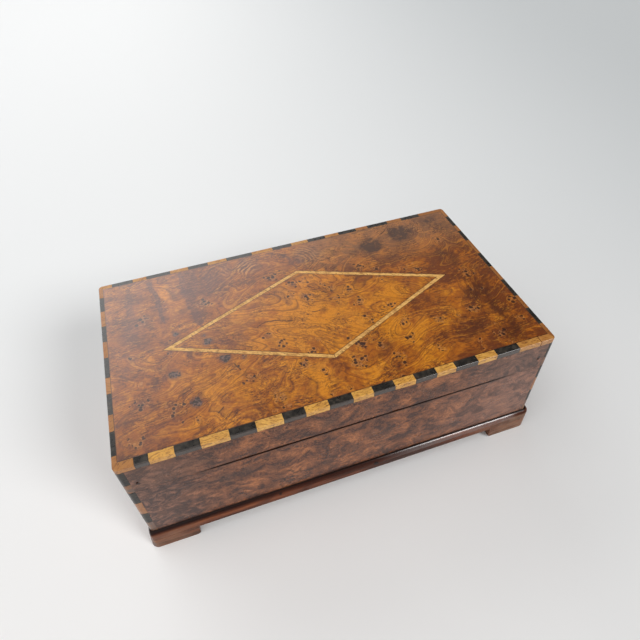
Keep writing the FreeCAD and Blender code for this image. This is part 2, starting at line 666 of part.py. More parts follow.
def write_nodes():
    """Checks every object of the document, then writes one file for each piece."""
    doc.recompute()
    for item in doc.Objects:
        if "Invalid" in item.State or "Error" in item.State:
            raise RuntimeError(f"{item.Label} failed to build: {item.State}")
    for item in nodes:
        if item.Shape.isNull() or not item.Shape.isValid() or not item.Shape.Solids:
            raise RuntimeError(f"{item.Label} has no valid solid")
    os.makedirs("parts", exist_ok=True)
    for item in nodes:
        item.Shape.exportStep(f"parts/{item.Label}.step")
        print(f"{item.Label}: {len(item.Shape.Solids)} solids, {item.Shape.Volume:.1f} mm3")
    print(f"{len(nodes)} nodes")


fill_sheet()
make_box()
write_nodes()
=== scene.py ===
"""Looks of the marquetry box: burr veneers, chequered edging, plinth, feet, hinges, light and camera."""

import json
import math

import bmesh
import bpy
import numpy as np
from mathutils import Matrix, Quaternion, Vector

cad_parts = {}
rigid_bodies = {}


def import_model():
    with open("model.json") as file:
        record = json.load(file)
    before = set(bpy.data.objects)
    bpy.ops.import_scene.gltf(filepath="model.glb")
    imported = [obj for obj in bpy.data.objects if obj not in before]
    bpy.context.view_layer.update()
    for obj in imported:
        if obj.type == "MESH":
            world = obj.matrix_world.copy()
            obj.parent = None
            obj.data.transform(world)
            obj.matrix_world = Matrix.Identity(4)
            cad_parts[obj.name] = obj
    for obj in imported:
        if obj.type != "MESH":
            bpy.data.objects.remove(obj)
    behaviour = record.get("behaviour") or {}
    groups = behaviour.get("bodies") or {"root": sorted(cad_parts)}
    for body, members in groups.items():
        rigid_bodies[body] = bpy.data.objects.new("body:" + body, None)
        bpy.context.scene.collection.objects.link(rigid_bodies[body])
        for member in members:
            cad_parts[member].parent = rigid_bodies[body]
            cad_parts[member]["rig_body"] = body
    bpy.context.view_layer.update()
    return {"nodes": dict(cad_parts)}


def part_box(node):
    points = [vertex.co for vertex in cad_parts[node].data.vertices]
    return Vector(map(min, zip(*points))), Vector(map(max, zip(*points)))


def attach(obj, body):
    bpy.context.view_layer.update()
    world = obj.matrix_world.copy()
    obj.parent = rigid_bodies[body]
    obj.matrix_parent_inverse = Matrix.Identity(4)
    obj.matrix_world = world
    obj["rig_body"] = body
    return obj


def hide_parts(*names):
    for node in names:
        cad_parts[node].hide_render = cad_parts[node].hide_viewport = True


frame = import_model()

MM = 0.001

# Levels and faces of the solids
LID_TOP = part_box("lid_top_veneer")[1].z
FRONT_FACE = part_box("lid_front_veneer")[0].y
PLINTH_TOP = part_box("plinth_front")[1].z
PLINTH_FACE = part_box("plinth_front")[0].y
LID_LINE = (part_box("base_front_wall")[1].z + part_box("lid_front_wall")[0].z) / 2
SIDES = {
    "front": Vector((0, -1, 0)),
    "right": Vector((1, 0, 0)),
    "back": Vector((0, 1, 0)),
    "left": Vector((-1, 0, 0)),
}
STRINGING = tuple(
    "lid_stringing_" + run for run in ("front_left", "front_right", "back_right", "back_left")
)

# Camera, as worked out from the corners of the lid in the photograph
FRAME_PIXELS = 640
FOCAL_PIXELS = 526
SENSOR_WIDTH = 36.0
CAMERA_AZIMUTH = math.radians(-17.398)
CAMERA_ELEVATION = math.radians(46.217)
CAMERA_ROLL = math.radians(2.095)
CAMERA_PLACE = Vector((-72.2, -245.3, 358.0)) * MM

# Places on the lid, read as pixels of the photograph: (across, down, radius in mm, strength)
EYE_CLUSTERS = (
    (360, 267, 3.6, 1), (375, 269, 3.2, 1), (405, 268, 3.4, 0.9), (416, 268, 4, 1), (438, 241, 4.2, 0.8),
    (467, 272, 4.6, 0.8), (473, 309, 3.8, 1), (441, 319, 3.4, 0.9), (404, 322, 3.4, 1),
    (502, 332, 3.8, 0.9), (512, 299, 3.6, 0.8), (519, 317, 3.2, 0.9), (391, 304, 3.8, 0.9),
    (360, 301, 3.8, 1), (331, 288, 3, 0.8), (348, 290, 3.8, 0.9), (336, 298, 2.8, 1), (306, 296, 4.4, 1),
    (411, 338, 3.6, 1), (361, 344, 3.6, 1), (381, 346, 2.6, 1), (441, 347, 4.6, 0.9), (360, 362, 4.4, 1),
    (400, 356, 3.2, 0.9), (304, 364, 3.4, 0.9), (311, 350, 2.6, 0.7), (326, 371, 2.4, 1),
    (268, 335, 3.8, 0.9), (252, 378, 4.4, 0.7), (142, 405, 4.6, 0.8), (175, 410, 4.4, 0.8),
    (140, 442, 4.8, 0.7), (205, 304, 4.2, 0.9), (273, 276, 4.6, 0.9), (293, 285, 4.4, 0.8),
    (291, 296, 3, 0.9), (281, 396, 4.6, 0.7), (324, 284, 3.4, 0.8), (280, 343, 3, 0.8),
    (381, 277, 3.8, 0.7), (144, 321, 4.6, 0.6), (178, 421, 3.4, 0.5), (304, 282, 3, 0.6),
)
SINGLE_PIPS = (
    (472, 290), (481, 287), (505, 293), (458, 315), (495, 323), (481, 341), (364, 316), (373, 320),
    (350, 338), (371, 340), (404, 363), (350, 387), (170, 341), (170, 354), (131, 358), (141, 385),
    (275, 412), (288, 406), (164, 302), (334, 262), (485, 347), (333, 393), (403, 376), (237, 367),
    (199, 420), (244, 357), (510, 341), (318, 340), (286, 345),
)
SINGLE_PIP_RADIUS = 1.7
KNOTS = (
    (175, 374.5, 4.2, 1), (225, 358, 4.2, 1), (244, 357, 2.2, 0.9), (196.5, 402.5, 4.2, 1),
    (207.5, 341, 3.8, 1), (204, 335, 2.6, 0.7), (176, 334, 3, 0.8), (204, 303, 3, 0.8),
    (252, 378, 2, 0.6), (299, 262, 2.8, 0.6), (293, 284, 2.6, 0.6), (142, 405, 3, 0.5),
    (268, 336, 3, 0.5), (305, 296, 3, 0.6), (304, 364, 2.4, 0.6), (170, 353, 1.8, 0.7),
)
SMOKE_SPOTS = (
    (370, 246, 8, 1), (371, 245, 7, 1), (401, 234, 8.5, 1), (398, 232, 7, 1), (334, 253, 5, 0.5),
    (353, 255, 4, 0.5), (345, 246, 7, 0.1), (420, 222, 9, 0.4), (444, 256, 9, 0.4), (436, 248, 6, 0.3),
    (456, 262, 7, 0.3), (470, 293, 8, 0.6), (492, 306, 7.5, 0.65), (503, 311, 6, 0.6),
    (473, 326, 9.5, 0.4), (484, 332, 7, 0.3), (480, 283, 8.5, 0.5), (484, 294, 7, 0.55),
    (262, 411, 8.5, 0.4), (284, 396, 6, 0.45), (388, 345, 5, 0.5), (382, 355, 5, 0.45),
    (396, 335, 4, 0.35), (330, 291, 8, 0.35), (352, 293, 7, 0.35), (392, 276, 7, 0.3), (408, 250, 8, 0.2),
    (516, 335, 8, 0.5), (510, 325, 9, 0.4), (455, 232, 8, 0.3), (493, 268, 8, 0.4), (474, 268, 9, 0.35),
    (350, 268, 8, 0.25), (465, 310, 7, 0.2), (457, 335, 9, 0.2), (127, 461, 4.5, 0.8),
    (120, 461, 4.5, 0.7), (436, 221, 9, 0.6), (442, 228, 7, 0.3),
)
DUSK_SPOTS = (
    (185, 282, 5.5, 0.8), (190, 292, 6.5, 0.9), (196, 304, 6.5, 0.9), (200, 317, 5, 0.7),
    (203, 286, 8, 0.5), (212, 297, 9, 0.45), (222, 283, 9, 0.35), (210, 276, 7, 0.45),
    (150, 288, 2.6, 0.7), (155, 299, 2.8, 0.8), (161, 313, 2.8, 0.8), (164, 321, 2.6, 0.5),
    (133, 326, 8, 0.8), (124, 340, 8, 0.6), (146, 321, 5, 0.6), (137, 308, 5, 0.5), (122, 302, 7, 0.4),
    (129, 297, 3, 0.6), (236, 345, 9, 0.4), (218, 333, 7, 0.5), (240, 325, 8, 0.4), (298, 260, 5, 0.8),
    (286, 268, 7, 0.4), (262, 268, 7, 0.4), (243, 262, 6, 0.5), (318, 246, 8, 0.6), (304, 252, 9, 0.45),
    (280, 290, 8, 0.4), (142, 405, 6, 0.4), (150, 441, 9, 0.55), (130, 445, 7, 0.5), (178, 420, 6, 0.35),
    (255, 306, 8, 0.3),
)
GOLD_SPOTS = (
    (497, 315, 6, 1), (487, 305, 4, 0.5), (449, 300, 14, 0.8), (425, 330, 17, 0.9), (392, 322, 13, 0.9),
    (430, 362, 16, 0.8), (330, 318, 26, 0.8), (300, 308, 20, 0.7), (383, 287, 12, 0.6),
    (310, 380, 22, 0.6), (372, 375, 15, 0.6), (240, 395, 26, 0.5), (215, 372, 22, 0.5),
    (282, 330, 9, 0.8), (169, 297, 6, 1), (232, 300, 14, 0.4), (165, 287, 4, 0.6), (173, 310, 4.5, 0.7),
    (250, 325, 12, 0.5), (400, 300, 14, 0.5), (411, 268, 6, 0.5), (320, 270, 9, 0.5), (425, 242, 8, 0.5),
    (360, 262, 8, 0.4), (458, 250, 6, 0.4), (480, 300, 4, 0.5), (170, 440, 14, 0.4), (213, 440, 16, 0.4),
)

# Cracks in the lid's veneer, as runs of pixels of the photograph
CRACKS = (
    ((258, 327), (265, 322), (276, 320), (293, 321)),
    ((183, 394), (191, 389)),
    ((219, 413), (223, 407)),
    ((313, 312), (320, 310)),
    ((235, 364), (240, 370)),
)

# Dusky flames that narrow towards their end: (run of pixels, widths in mm at start and end, depth)
FLAMES = (
    (((188, 276), (190, 292), (193, 306), (199, 322)), 12, 3, 0.85),
    (((206, 275), (205, 290), (201, 306), (199, 318)), 9, 3, 0.6),
    (((180, 273), (183, 288), (189, 302), (196, 316), (201, 326)), 2.6, 1.8, 0.8),
    (((149, 284), (156, 296), (159, 308), (164, 322)), 3.6, 1.8, 0.95),
    (((126, 300), (133, 318), (136, 334)), 4, 3, 0.6),
    (((276, 292), (285, 298), (290, 303)), 6, 3, 0.5),
    (((232, 345), (240, 330), (252, 322)), 6, 3, 0.5),
    (((214, 340), (228, 342), (246, 338)), 5, 3, 0.55),
    (((284, 255), (292, 262), (296, 268)), 3, 2, 0.7),
)

# Curled grain near the lid's back edge: (centre of the arcs, middle of the patch, its radius in mm,
# depth), and the distance from arc to arc in mm
CURLS = (
    ((262, 274), (246, 266), 11, 1),
    ((292, 264), (306, 254), 12, 1),
    ((236, 262), (224, 272), 8, 0.4),
    ((330, 236), (318, 256), 9, 0.5),
)
CURL_STEP = 3

# Distance between the burr's pips, in mm, and a depth in mm that no place in the lozenge has
PIP_CELL = 2.6
FAR_INSIDE = -1000

# Dark bruises on the face of the plinth, as (pixel, radius in mm)
PLINTH_SCARS = (((376.5, 463), 2.6), ((281, 494), 1.6))

# Where the shine on the plinth's nose starts and ends along the front, and where a paler grey-brown, partly
# the wood's own tone and partly painted reflection, starts, in mm
SHINE_START = (15, 60)
SHINE_END = (122, 134)
TAN_AND_SHEEN_START = (80, 135)

# How strongly the polish on the plinth's nose reflects
PLINTH_COAT_IOR = 1.95

# Dark marks round the nail heads on the lid's front, and one small spot, as (pixel, radius in mm)
NAIL_MARKS = (((138.6, 483.8), 1.5), ((146.8, 489), 0.9), ((538.8, 357.3), 1.8))

# A chip in the lid's lower edge, as a pixel of the photograph
EDGE_CHIP = (396, 410)

# Dark and light places on the front, read the same way
FRONT_SMOKE_SPOTS = (
    (190, 488, 6, 0.8), (204, 485, 4.5, 0.7), (222, 477, 6, 0.9), (248, 471, 7, 1), (229, 480, 5, 0.7),
    (274, 468, 5, 0.8), (288, 461, 4.5, 0.7), (325, 463, 5, 0.9), (275, 454, 4, 0.7),
    (321, 446, 4.5, 0.7), (212, 503, 4, 0.6), (234, 500, 4.5, 0.5), (263, 481, 3.5, 0.7),
    (164, 518, 5, 0.5), (170, 486, 8, 0.6), (190, 463, 7, 0.8), (208, 459, 5, 0.7), (161, 472, 9, 0.7),
    (252, 435, 4, 0.9), (278, 431, 5, 0.8), (290, 433, 4, 0.6), (220, 446, 6, 0.8), (236, 440, 4.5, 0.7),
    (148, 500, 7, 0.6), (368, 406, 5.5, 0.9), (423, 389, 5, 0.8), (430, 392, 5, 0.8), (444, 387, 5, 0.6),
    (466, 366, 6, 0.8), (491, 365, 6, 0.6), (386, 431, 7, 1), (368, 434, 5.5, 0.8), (353, 448, 6, 0.8),
    (382, 445, 5, 0.7), (388, 417, 5, 0.8), (410, 409, 4.5, 0.6), (419, 420, 5.5, 0.7),
    (438, 420, 4.5, 0.5), (463, 405, 3.5, 0.4), (487, 408, 5, 0.6), (511, 403, 7, 0.7),
    (427, 437, 5, 0.6), (469, 426, 3.5, 0.4), (508, 375, 6, 0.6), (525, 364, 7, 0.7), (300, 480, 5, 0.5),
    (340, 415, 5, 0.5), (395, 398, 4.5, 0.6), (310, 424, 4.5, 0.5), (520, 385, 6, 0.6),
    (340, 470, 5, 0.6), (300, 440, 4.5, 0.5), (330, 420, 5, 0.9), (325, 426, 4, 0.6), (338, 424, 4, 0.5),
)
FRONT_GOLD_SPOTS = (
    (244, 444, 5, 0.9), (261, 432, 4.5, 0.9), (312, 428, 5.5, 0.8), (256, 483, 6, 0.8),
    (295, 470, 7, 0.7), (305, 450, 6, 0.7), (438, 380, 5, 1), (431, 385, 4.5, 0.9), (378, 396, 5, 0.9),
    (407, 400, 4.5, 0.9), (447, 413, 7, 0.8), (354, 438, 5.5, 0.8), (487, 393, 6, 0.6),
    (372, 447, 6, 0.8), (405, 425, 5, 0.8), (345, 458, 6, 0.6), (470, 392, 6, 0.6), (410, 440, 5, 0.6),
    (225, 492, 6, 0.5), (335, 432, 4, 0.3), (270, 445, 4.5, 0.6), (350, 408, 5, 0.6), (455, 377, 5, 0.6),
    (500, 385, 6, 0.4),
)

# Scattered spots on the other sides, with their radii in mm and their strengths
END_SPOT_COUNT = 30
BACK_SPOT_COUNT = 60
SPOT_RADII = (4, 8)
SPOT_STRENGTHS = (0.5, 1)
SEED = 7

# Meshes: cells, joining distances and angles
TOP_CELL = 1.5 * MM
SIDE_CELL = 2.5 * MM
WELD_DISTANCE = 1e-6
TOUCH_DISTANCE = 1e-5
FLAT_ANGLE = math.radians(0.5)
BEND_ANGLE = math.radians(32)
SQUARE_ON = 0.9

# Open joints, and wear of the lid line, whose two ends are shares of half the box's length
BLOCK_GAP = 0.5 * MM
MITRE_GAP = 0.45 * MM
WORN_LID_EDGE = 1.15 * MM
WORN_BASE_EDGE = 0.55 * MM
SHUT_BASE_EDGE = 0.28 * MM
WEAR_START = -0.64
WEAR_END = 0.78
CHIP_WIDTH = 2.5 * MM
CHIP_HEIGHT = 0.6 * MM

# Rounding of edges in mm: the lid's top edges, and the pieces of each kind
ARRIS_WIDTHS = {"front": 0.75, "right": 0.5, "back": 0.4, "left": 0.5}
JOINT_EDGE_SHARE = 0.2
EDGE_WIDTHS = {"corner": 0.22, "stringing": 0.12, "plinth_wood": 0.35, "carcass_wood": 0.25}

# How far the plinth leans in at the left end, where its top stands less proud than at the right
LEAN_IN = 2.5 * MM

# Heights in mm between which the corner blocks are clean
CLEAN_CORNER = (30, PLINTH_TOP / MM + 34)

# Floor, backdrop, sky and lamps
FLOOR_HALF = 4.0
BACKDROP_START = 0.45
BACKDROP_RADIUS = 8.0
BACKDROP_TURN = math.radians(16)
BACKDROP_STEPS = 24
WORLD_LEVEL = 0.06
WORLD_SEEN_LEVEL = 0.8
HORIZON_HEIGHTS = (0.28, 0.42)
LAMP_TARGET = (0, 0, 60 * MM)


def camera_axes():
    """The camera's right, down and back directions."""
    back = Vector((
        math.sin(CAMERA_AZIMUTH) * math.cos(CAMERA_ELEVATION),
        -math.cos(CAMERA_AZIMUTH) * math.cos(CAMERA_ELEVATION),
        math.sin(CAMERA_ELEVATION),
    ))
    level_right = (-back).cross(Vector((0, 0, 1))).normalized()
    level_down = (-back).cross(level_right)
    turn = math.cos(CAMERA_ROLL)
    tip = math.sin(CAMERA_ROLL)
    right = turn * level_right + tip * level_down
    down = turn * level_down - tip * level_right
    return right, down, back


def point_on(pixel, axis, level):
    """Where the sight line through a pixel of the photograph meets the plane axis = level."""
    right, down, back = camera_axes()
    centre = FRAME_PIXELS / 2
    ray = (pixel[0] - centre) / FOCAL_PIXELS * right + (pixel[1] - centre) / FOCAL_PIXELS * down - back
    reach = (level - CAMERA_PLACE[axis]) / ray[axis]
    return CAMERA_PLACE + reach * ray


def lid_place(pixel):
    """The place on the lid's top that a pixel of the photograph shows, in mm, with no height."""
    place = point_on(pixel, 2, LID_TOP) / MM
    return place.x, place.y, 0


def add_object(name, data):
    obj = bpy.data.objects.new(name, data)
    bpy.context.scene.collection.objects.link(obj)
    return obj


def make_camera():
    right, down, back = camera_axes()
    camera = add_object("camera", bpy.data.cameras.new("camera"))
    camera.data.sensor_width = SENSOR_WIDTH
    camera.data.lens = SENSOR_WIDTH * FOCAL_PIXELS / FRAME_PIXELS
    camera.data.clip_start = 0.01
    turn = Matrix((right, -down, back)).transposed().to_4x4()
    camera.matrix_world = Matrix.Translation(CAMERA_PLACE) @ turn
    bpy.context.scene.camera = camera


def shade(red, green, blue):
    """A colour given as screen values from 0 to 255, as the linear colour of a node."""
    screen = (red, green, blue)
    return tuple(((v / 255 + 0.055) / 1.055) ** 2.4 if v > 10 else v / 3295 for v in screen) + (1.0,)


class Value:
    """What a node gives, a number or a place in millimetres; its methods and signs make further nodes."""

    def __init__(self, nodes, socket):
        self.nodes = nodes
        self.socket = socket

    def math(self, operation, other=0):
        return self.nodes.node("ShaderNodeMath", {0: self, 1: other}, operation=operation)

    def __add__(self, other):
        return self.math("ADD", other)

    def __sub__(self, other):
        return self.math("SUBTRACT", other)

    def __rsub__(self, other):
        return self.nodes.node("ShaderNodeMath", {0: other, 1: self}, operation="SUBTRACT")

    def __mul__(self, other):
        return self.math("MULTIPLY", other)

    def __abs__(self):
        return self.math("ABSOLUTE")

    def sine(self):
        return self.math("SINE")

    def most(self, other):
        return self.math("MAXIMUM", other)

    def least(self, other):
        return self.math("MINIMUM", other)

    def fade(self, low, high, start, end):
        """A smooth step from start, where the value is low, to end, where it is high."""
        inputs = {"Value": self, "From Min": low, "From Max": high, "To Min": start, "To Max": end}
        return self.nodes.node("ShaderNodeMapRange", inputs, interpolation_type="SMOOTHSTEP")

    def rise(self, low, high, top=1):
        return self.fade(low, high, 0, top)

    def fall(self, low, high, top=1):
        return self.fade(low, high, top, 0)

    def axis(self, index):
        return self.nodes.node("ShaderNodeSeparateXYZ", {0: self}, output=index)

    def vector(self, operation, other, output=0):
        return self.nodes.node("ShaderNodeVectorMath", {0: self, 1: other}, output, operation=operation)

    def moved(self, offset):
        return self.vector("ADD", offset)

    def stretched(self, *shares):
        return self.vector("MULTIPLY", shares)

    def scaled(self, share):
        return self.nodes.node("ShaderNodeVectorMath", {0: self, 3: share}, operation="SCALE")

    def turned(self, angle):
        inputs = {"Vector": self, "Angle": angle}
        return self.nodes.node("ShaderNodeVectorRotate", inputs, rotation_type="Z_AXIS")

    def distance(self, other):
        return self.vector("DISTANCE", other, "Value")

    def along(self, direction):
        return self.vector("DOT_PRODUCT", direction, "Value")

    def stroke(self, start, end):
        """Distance of a place from the run between two others."""
        run = tuple(e - s for s, e in zip(start, end))
        away = self.vector("SUBTRACT", start)
        share = away.along(run) * (1 / sum(r * r for r in run))
        held = self.nodes.node("ShaderNodeClamp", {"Value": share})
        return away.distance(self.nodes.node("ShaderNodeVectorMath", {0: run, 3: held}, operation="SCALE"))

    def noise(self, size, detail=2, rough=0.5, output=0):
        inputs = {"Vector": self, "Scale": 1 / size, "Detail": detail, "Roughness": rough}
        return self.nodes.node("ShaderNodeTexNoise", inputs, output)

    def line_noise(self, detail, rough=0.5):
        inputs = {"W": self, "Scale": 1, "Detail": detail, "Roughness": rough}
        return self.nodes.node("ShaderNodeTexNoise", inputs, noise_dimensions="1D")

    def swirled(self, size, reach):
        """A place pushed about by slow noise of that size, by up to about half of reach."""
        push = self.noise(size, 1, output=1).vector("SUBTRACT", (0.5, 0.5, 0.5))
        return self.moved(push.scaled(reach))

    def cells(self, size, output="Distance"):
        return self.nodes.node("ShaderNodeTexVoronoi", {"Vector": self, "Scale": 1 / size}, output)


class Nodes:
    """A node tree that is written as short expressions."""

    def __init__(self, tree):
        self.tree = tree

    def feed(self, socket, value):
        if isinstance(value, Value):
            self.tree.links.new(value.socket, socket)
        else:
            socket.default_value = value

    def node(self, kind, inputs=None, output=0, **settings):
        made = self.tree.nodes.new(kind)
        for name, value in settings.items():
            setattr(made, name, value)
        for key, value in (inputs or {}).items():
            self.feed(made.inputs[key], value)
        return Value(self, made.outputs[output])


class Paint(Nodes):
    """One material; at is the place on the object, and x, y and z are its parts."""

    def __init__(self, name, coat=0, coat_roughness=0.2, metallic=0, specular=0.5):
        self.material = bpy.data.materials.new(name)
        self.material.use_nodes = True
        super().__init__(self.material.node_tree)
        self.surface = self.tree.nodes["Principled BSDF"]
        self.set("Coat Weight", coat)
        self.set("Coat Roughness", coat_roughness)
        self.set("Metallic", metallic)
        self.set("Specular IOR Level", specular)
        self.at = self.node("ShaderNodeTexCoord", output="Object").scaled(1 / MM)
        self.x, self.y, self.z = (self.at.axis(index) for index in range(3))

    def set(self, name, value):
        """Gives one of the shader's inputs a number, or what a node gives."""
        self.feed(self.surface.inputs[name], value)

    def attribute(self, name):
        return self.node("ShaderNodeAttribute", output="Fac", attribute_name=name)

    def mix(self, share, *colours):
        """Mixes two colours; each is what a node gives, or three screen values."""
        first, second = (tone if isinstance(tone, Value) else shade(*tone) for tone in colours)
        return self.node("ShaderNodeMix", {0: share, 6: first, 7: second}, 2, data_type="RGBA")

    def lay(self, share, *over):
        """Lays a colour over what is painted so far: one that a node gives, or three screen values."""
        self.colour = self.mix(share, self.colour, over[0] if len(over) == 1 else over)

    def finish(self, roughness, height, depth, strength):
        """Feeds the shader; height is from 0 to 1 and depth in mm."""
        bump = self.node("ShaderNodeBump", {"Height": height, "Distance": depth * MM, "Strength": strength})
        self.set("Base Color", self.colour)
        self.set("Roughness", roughness)
        self.set("Normal", bump)
        self.set("Coat Normal", bump)
        return self.material


def burr_pips(paint, at, eyes):
    """Small dark pips where the eye clusters are, each of its own size, and pale rings round them."""
    colour = at.cells(PIP_CELL, "Color")
    chance = paint.node("ShaderNodeSeparateColor", {0: colour}, output=0)
    own_size = paint.node("ShaderNodeSeparateColor", {0: colour}, output=1).fade(0, 1, 1.35, 0.85)
    distance = at.cells(PIP_CELL) * PIP_CELL * own_size
    chosen = (eyes - chance * 0.85).rise(0, 0.08)
    dot = distance.fall(0.85, 1.5) * chosen
    ring = distance.rise(1.15, 1.5) * distance.fall(1.5, 2.2)
    return dot, ring * chosen


def lozenge_corners(nodes):
    """The outer tips of the lozenge that some nodes form: left, front, right and back, in mm."""
    points = [vert.co / MM for node in nodes for vert in frame["nodes"][node].data.vertices]
    tips = ((min, 0), (min, 1), (max, 0), (max, 1))
    return [pick(points, key=lambda point: point[axis]) for pick, axis in tips]


def lozenge_distance(paint, corners):
    """Signed distance in mm from a lozenge's outline; outside is positive."""
    most = FAR_INSIDE
    for start, end in zip(corners, corners[1:] + corners[:1]):
        away = Vector((end.y - start.y, start.x - end.x, 0)).normalized()
        most = (paint.at.along(away) - away.dot(start)).most(most)
    return most


def field_seam(paint):
    """Distance from the field's nearest joint: the edging outside and the stringing inside."""
    nearest = lozenge_distance(paint, lozenge_corners(STRINGING))
    low, high = (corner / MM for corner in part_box("lid_top_veneer"))
    for axis, place in enumerate((paint.x, paint.y)):
        nearest = nearest.least(place - low[axis]).least(high[axis] - place)
    return nearest


def lozenge_seam(paint):
    """Distance from the stringing, inside the lozenge."""
    return lozenge_distance(paint, lozenge_corners(["lid_lozenge_veneer"])) * -1


def burr_top(name, turn, seam, lift, right_lift):
    """Golden burr of the lid: swirling grain bent round eye clusters, smoky patches, knots and cracks."""
    paint = Paint(name, coat=1, coat_roughness=0.27, specular=0.5)
    eyes, smoke, gold, knot, dusk = map(paint.attribute, ("eyes", "smoke", "gold", "knot", "dusk"))
    at = paint.at
    turned = paint.node("ShaderNodeMapping", {"Vector": at, "Rotation": (0, 0, turn)})

    # Grain lines are the contours of a slow height that the eyes push up
    bent = turned.swirled(80, 44).swirled(24, 9)
    rise = bent.stretched(0.35, 1, 1).noise(34, 1) * 58 + eyes * 5
    lines = rise.line_noise(3, 0.6)
    waves = (rise * 0.32).line_noise(1)
    hair = bent.stretched(0.15, 1, 1).noise(0.9, 2, 0.7)
    feather = bent.swirled(12, 12).stretched(0.28, 1, 1).noise(2.2, 3, 0.65)

    mottle = bent.noise(15, 3, 0.55)
    speckle = at.swirled(6, 5).noise(3.2, 3, 0.65)
    grit = at.noise(1, 2, 0.7)
    ripple = (speckle - 0.5) * 0.55 + (feather - 0.5) * 0.55
    level = paint.x.fade(10, 110, lift, right_lift)
    bright = gold * 0.3 + eyes * 0.14 + level + (mottle + ripple)
    paint.colour = paint.mix(bright.rise(0.34, 0.57), (112, 53, 11), (166, 91, 16))
    paint.lay(bright.rise(0.54, 0.86), 212, 132, 22)
    paint.lay(lines.rise(0.5, 0.72, 0.62), 88, 44, 18)
    paint.lay(lines.fall(0.28, 0.46, 0.38), 220, 146, 46)
    paint.lay(waves.rise(0.5, 0.7, 0.3), 104, 54, 24)

    # Arcs of the curls
    flat_place = at.swirled(9, 7).swirled(2.5, 1.2).stretched(1, 1, 0)
    for centre, middle, radius, depth in CURLS:
        arcs = (flat_place.distance(lid_place(centre)) * (2 * math.pi / CURL_STEP)).sine()
        curled = flat_place.distance(lid_place(middle)).fall(radius * 0.4, radius * 1.1, depth)
        paint.lay(arcs.rise(0, 0.9) * curled, 84, 46, 32)
        paint.lay(arcs.fall(-0.9, 0, 0.6) * curled, 206, 146, 84)

    # Dusky purple-brown patches, most of them towards the left end
    shroud = at.swirled(12, 12).noise(11, 3, 0.6).rise(0.46, 0.68)
    dim = (shroud * paint.x.fall(-125, -20, 0.5)).most(dusk * feather.fade(0.3, 0.7, 0.6, 1.1))
    ragged = at.swirled(9, 4).swirled(2.5, 1.6).stretched(1, 1, 0)
    for run, wide, narrow, depth in FLAMES:
        places = [lid_place(pixel) for pixel in run]
        for index, (start, end) in enumerate(zip(places, places[1:])):
            width = wide + (narrow - wide) * (index + 0.5) / (len(places) - 1)
            dim = dim.most(ragged.stroke(start, end).fall(width * 0.5, width * 0.75, depth))
    dim = dim.least(1)
    paint.lay(dim * 0.8, 98, 52, 43)

    # A pale painted reflection towards the back, standing for the sheen of the polish there
    paint.lay(paint.y.rise(18, 60, 0.26) * paint.x.rise(-10, 35), 196, 150, 104)

    # Smoky patches
    cloud = smoke * at.swirled(8, 12).noise(5.5, 4, 0.6).fade(0.3, 0.66, 0.45, 1.4)
    cloud = cloud + (feather - 0.5) * (smoke * 0.5)
    smoke_tone = paint.mix(paint.y.rise(5, 40), (76, 33, 6), (60, 41, 34))
    paint.lay(cloud.rise(0.05, 0.9, 0.88), smoke_tone)

    # Fine lines and grit, strong in some places and faint in others
    coarse = at.noise(13, 2).fade(0.4, 0.64, 0.2, 1).most(dim)
    pale_depth = coarse * dim.fade(0.2, 0.9, 1, 0.45)
    paint.lay(hair.rise(0.48, 0.68, 0.9) * coarse, 76, 37, 16)
    paint.lay(hair.fall(0.28, 0.46, 0.5) * pale_depth, 226, 158, 60)
    paint.lay(grit.rise(0.48, 0.68, 0.75) * coarse, 72, 34, 14)

    # Knots and eyes
    ragged_knot = knot * at.swirled(3, 4).noise(3.4, 2).fade(0.3, 0.7, 0.62, 1.35)
    core = paint.mix(at.noise(1.8, 2).rise(0.42, 0.64), (42, 31, 29), (112, 86, 78))
    paint.lay(knot.rise(0.1, 0.5, 0.45), 98, 60, 50)
    paint.lay(ragged_knot.rise(0.42, 0.66, 0.94), core)
    paint.lay((eyes * speckle.fade(0.38, 0.62, 0.2, 1.25)).rise(0.15, 1, 0.58), 92, 50, 32)
    dot, ring = burr_pips(paint, at.swirled(3, 1.4), eyes)
    paint.lay(ring * 0.42, 200, 136, 78)
    paint.lay(dot * 0.92, 42, 18, 10)

    # Short dark pores, cracks and the glue lines
    pore = bent.stretched(0.22, 1, 1).noise(0.9, 1).rise(0.64, 0.74, 0.6)
    paint.lay(pore * at.noise(20, 2).rise(0.42, 0.6), 64, 32, 18)
    wavy = at.swirled(5, 2.4).stretched(1, 1, 0)
    for run in CRACKS:
        places = [lid_place(pixel) for pixel in run]
        for start, end in zip(places, places[1:]):
            paint.lay(wavy.stroke(start, end).fall(0.15, 0.65, 0.8), 52, 26, 16)
    paint.lay(seam(paint).fall(0, 0.75, 0.8), 48, 26, 16)

    roughness = at.stretched(1, 0.5, 1).noise(18, 3, 0.6).fade(0.3, 0.7, 0.28, 0.38)
    height = lines * 0.3 - (dot * 0.8 + hair * 0.2)
    return paint.finish(roughness, height, 0.04, 0.35)


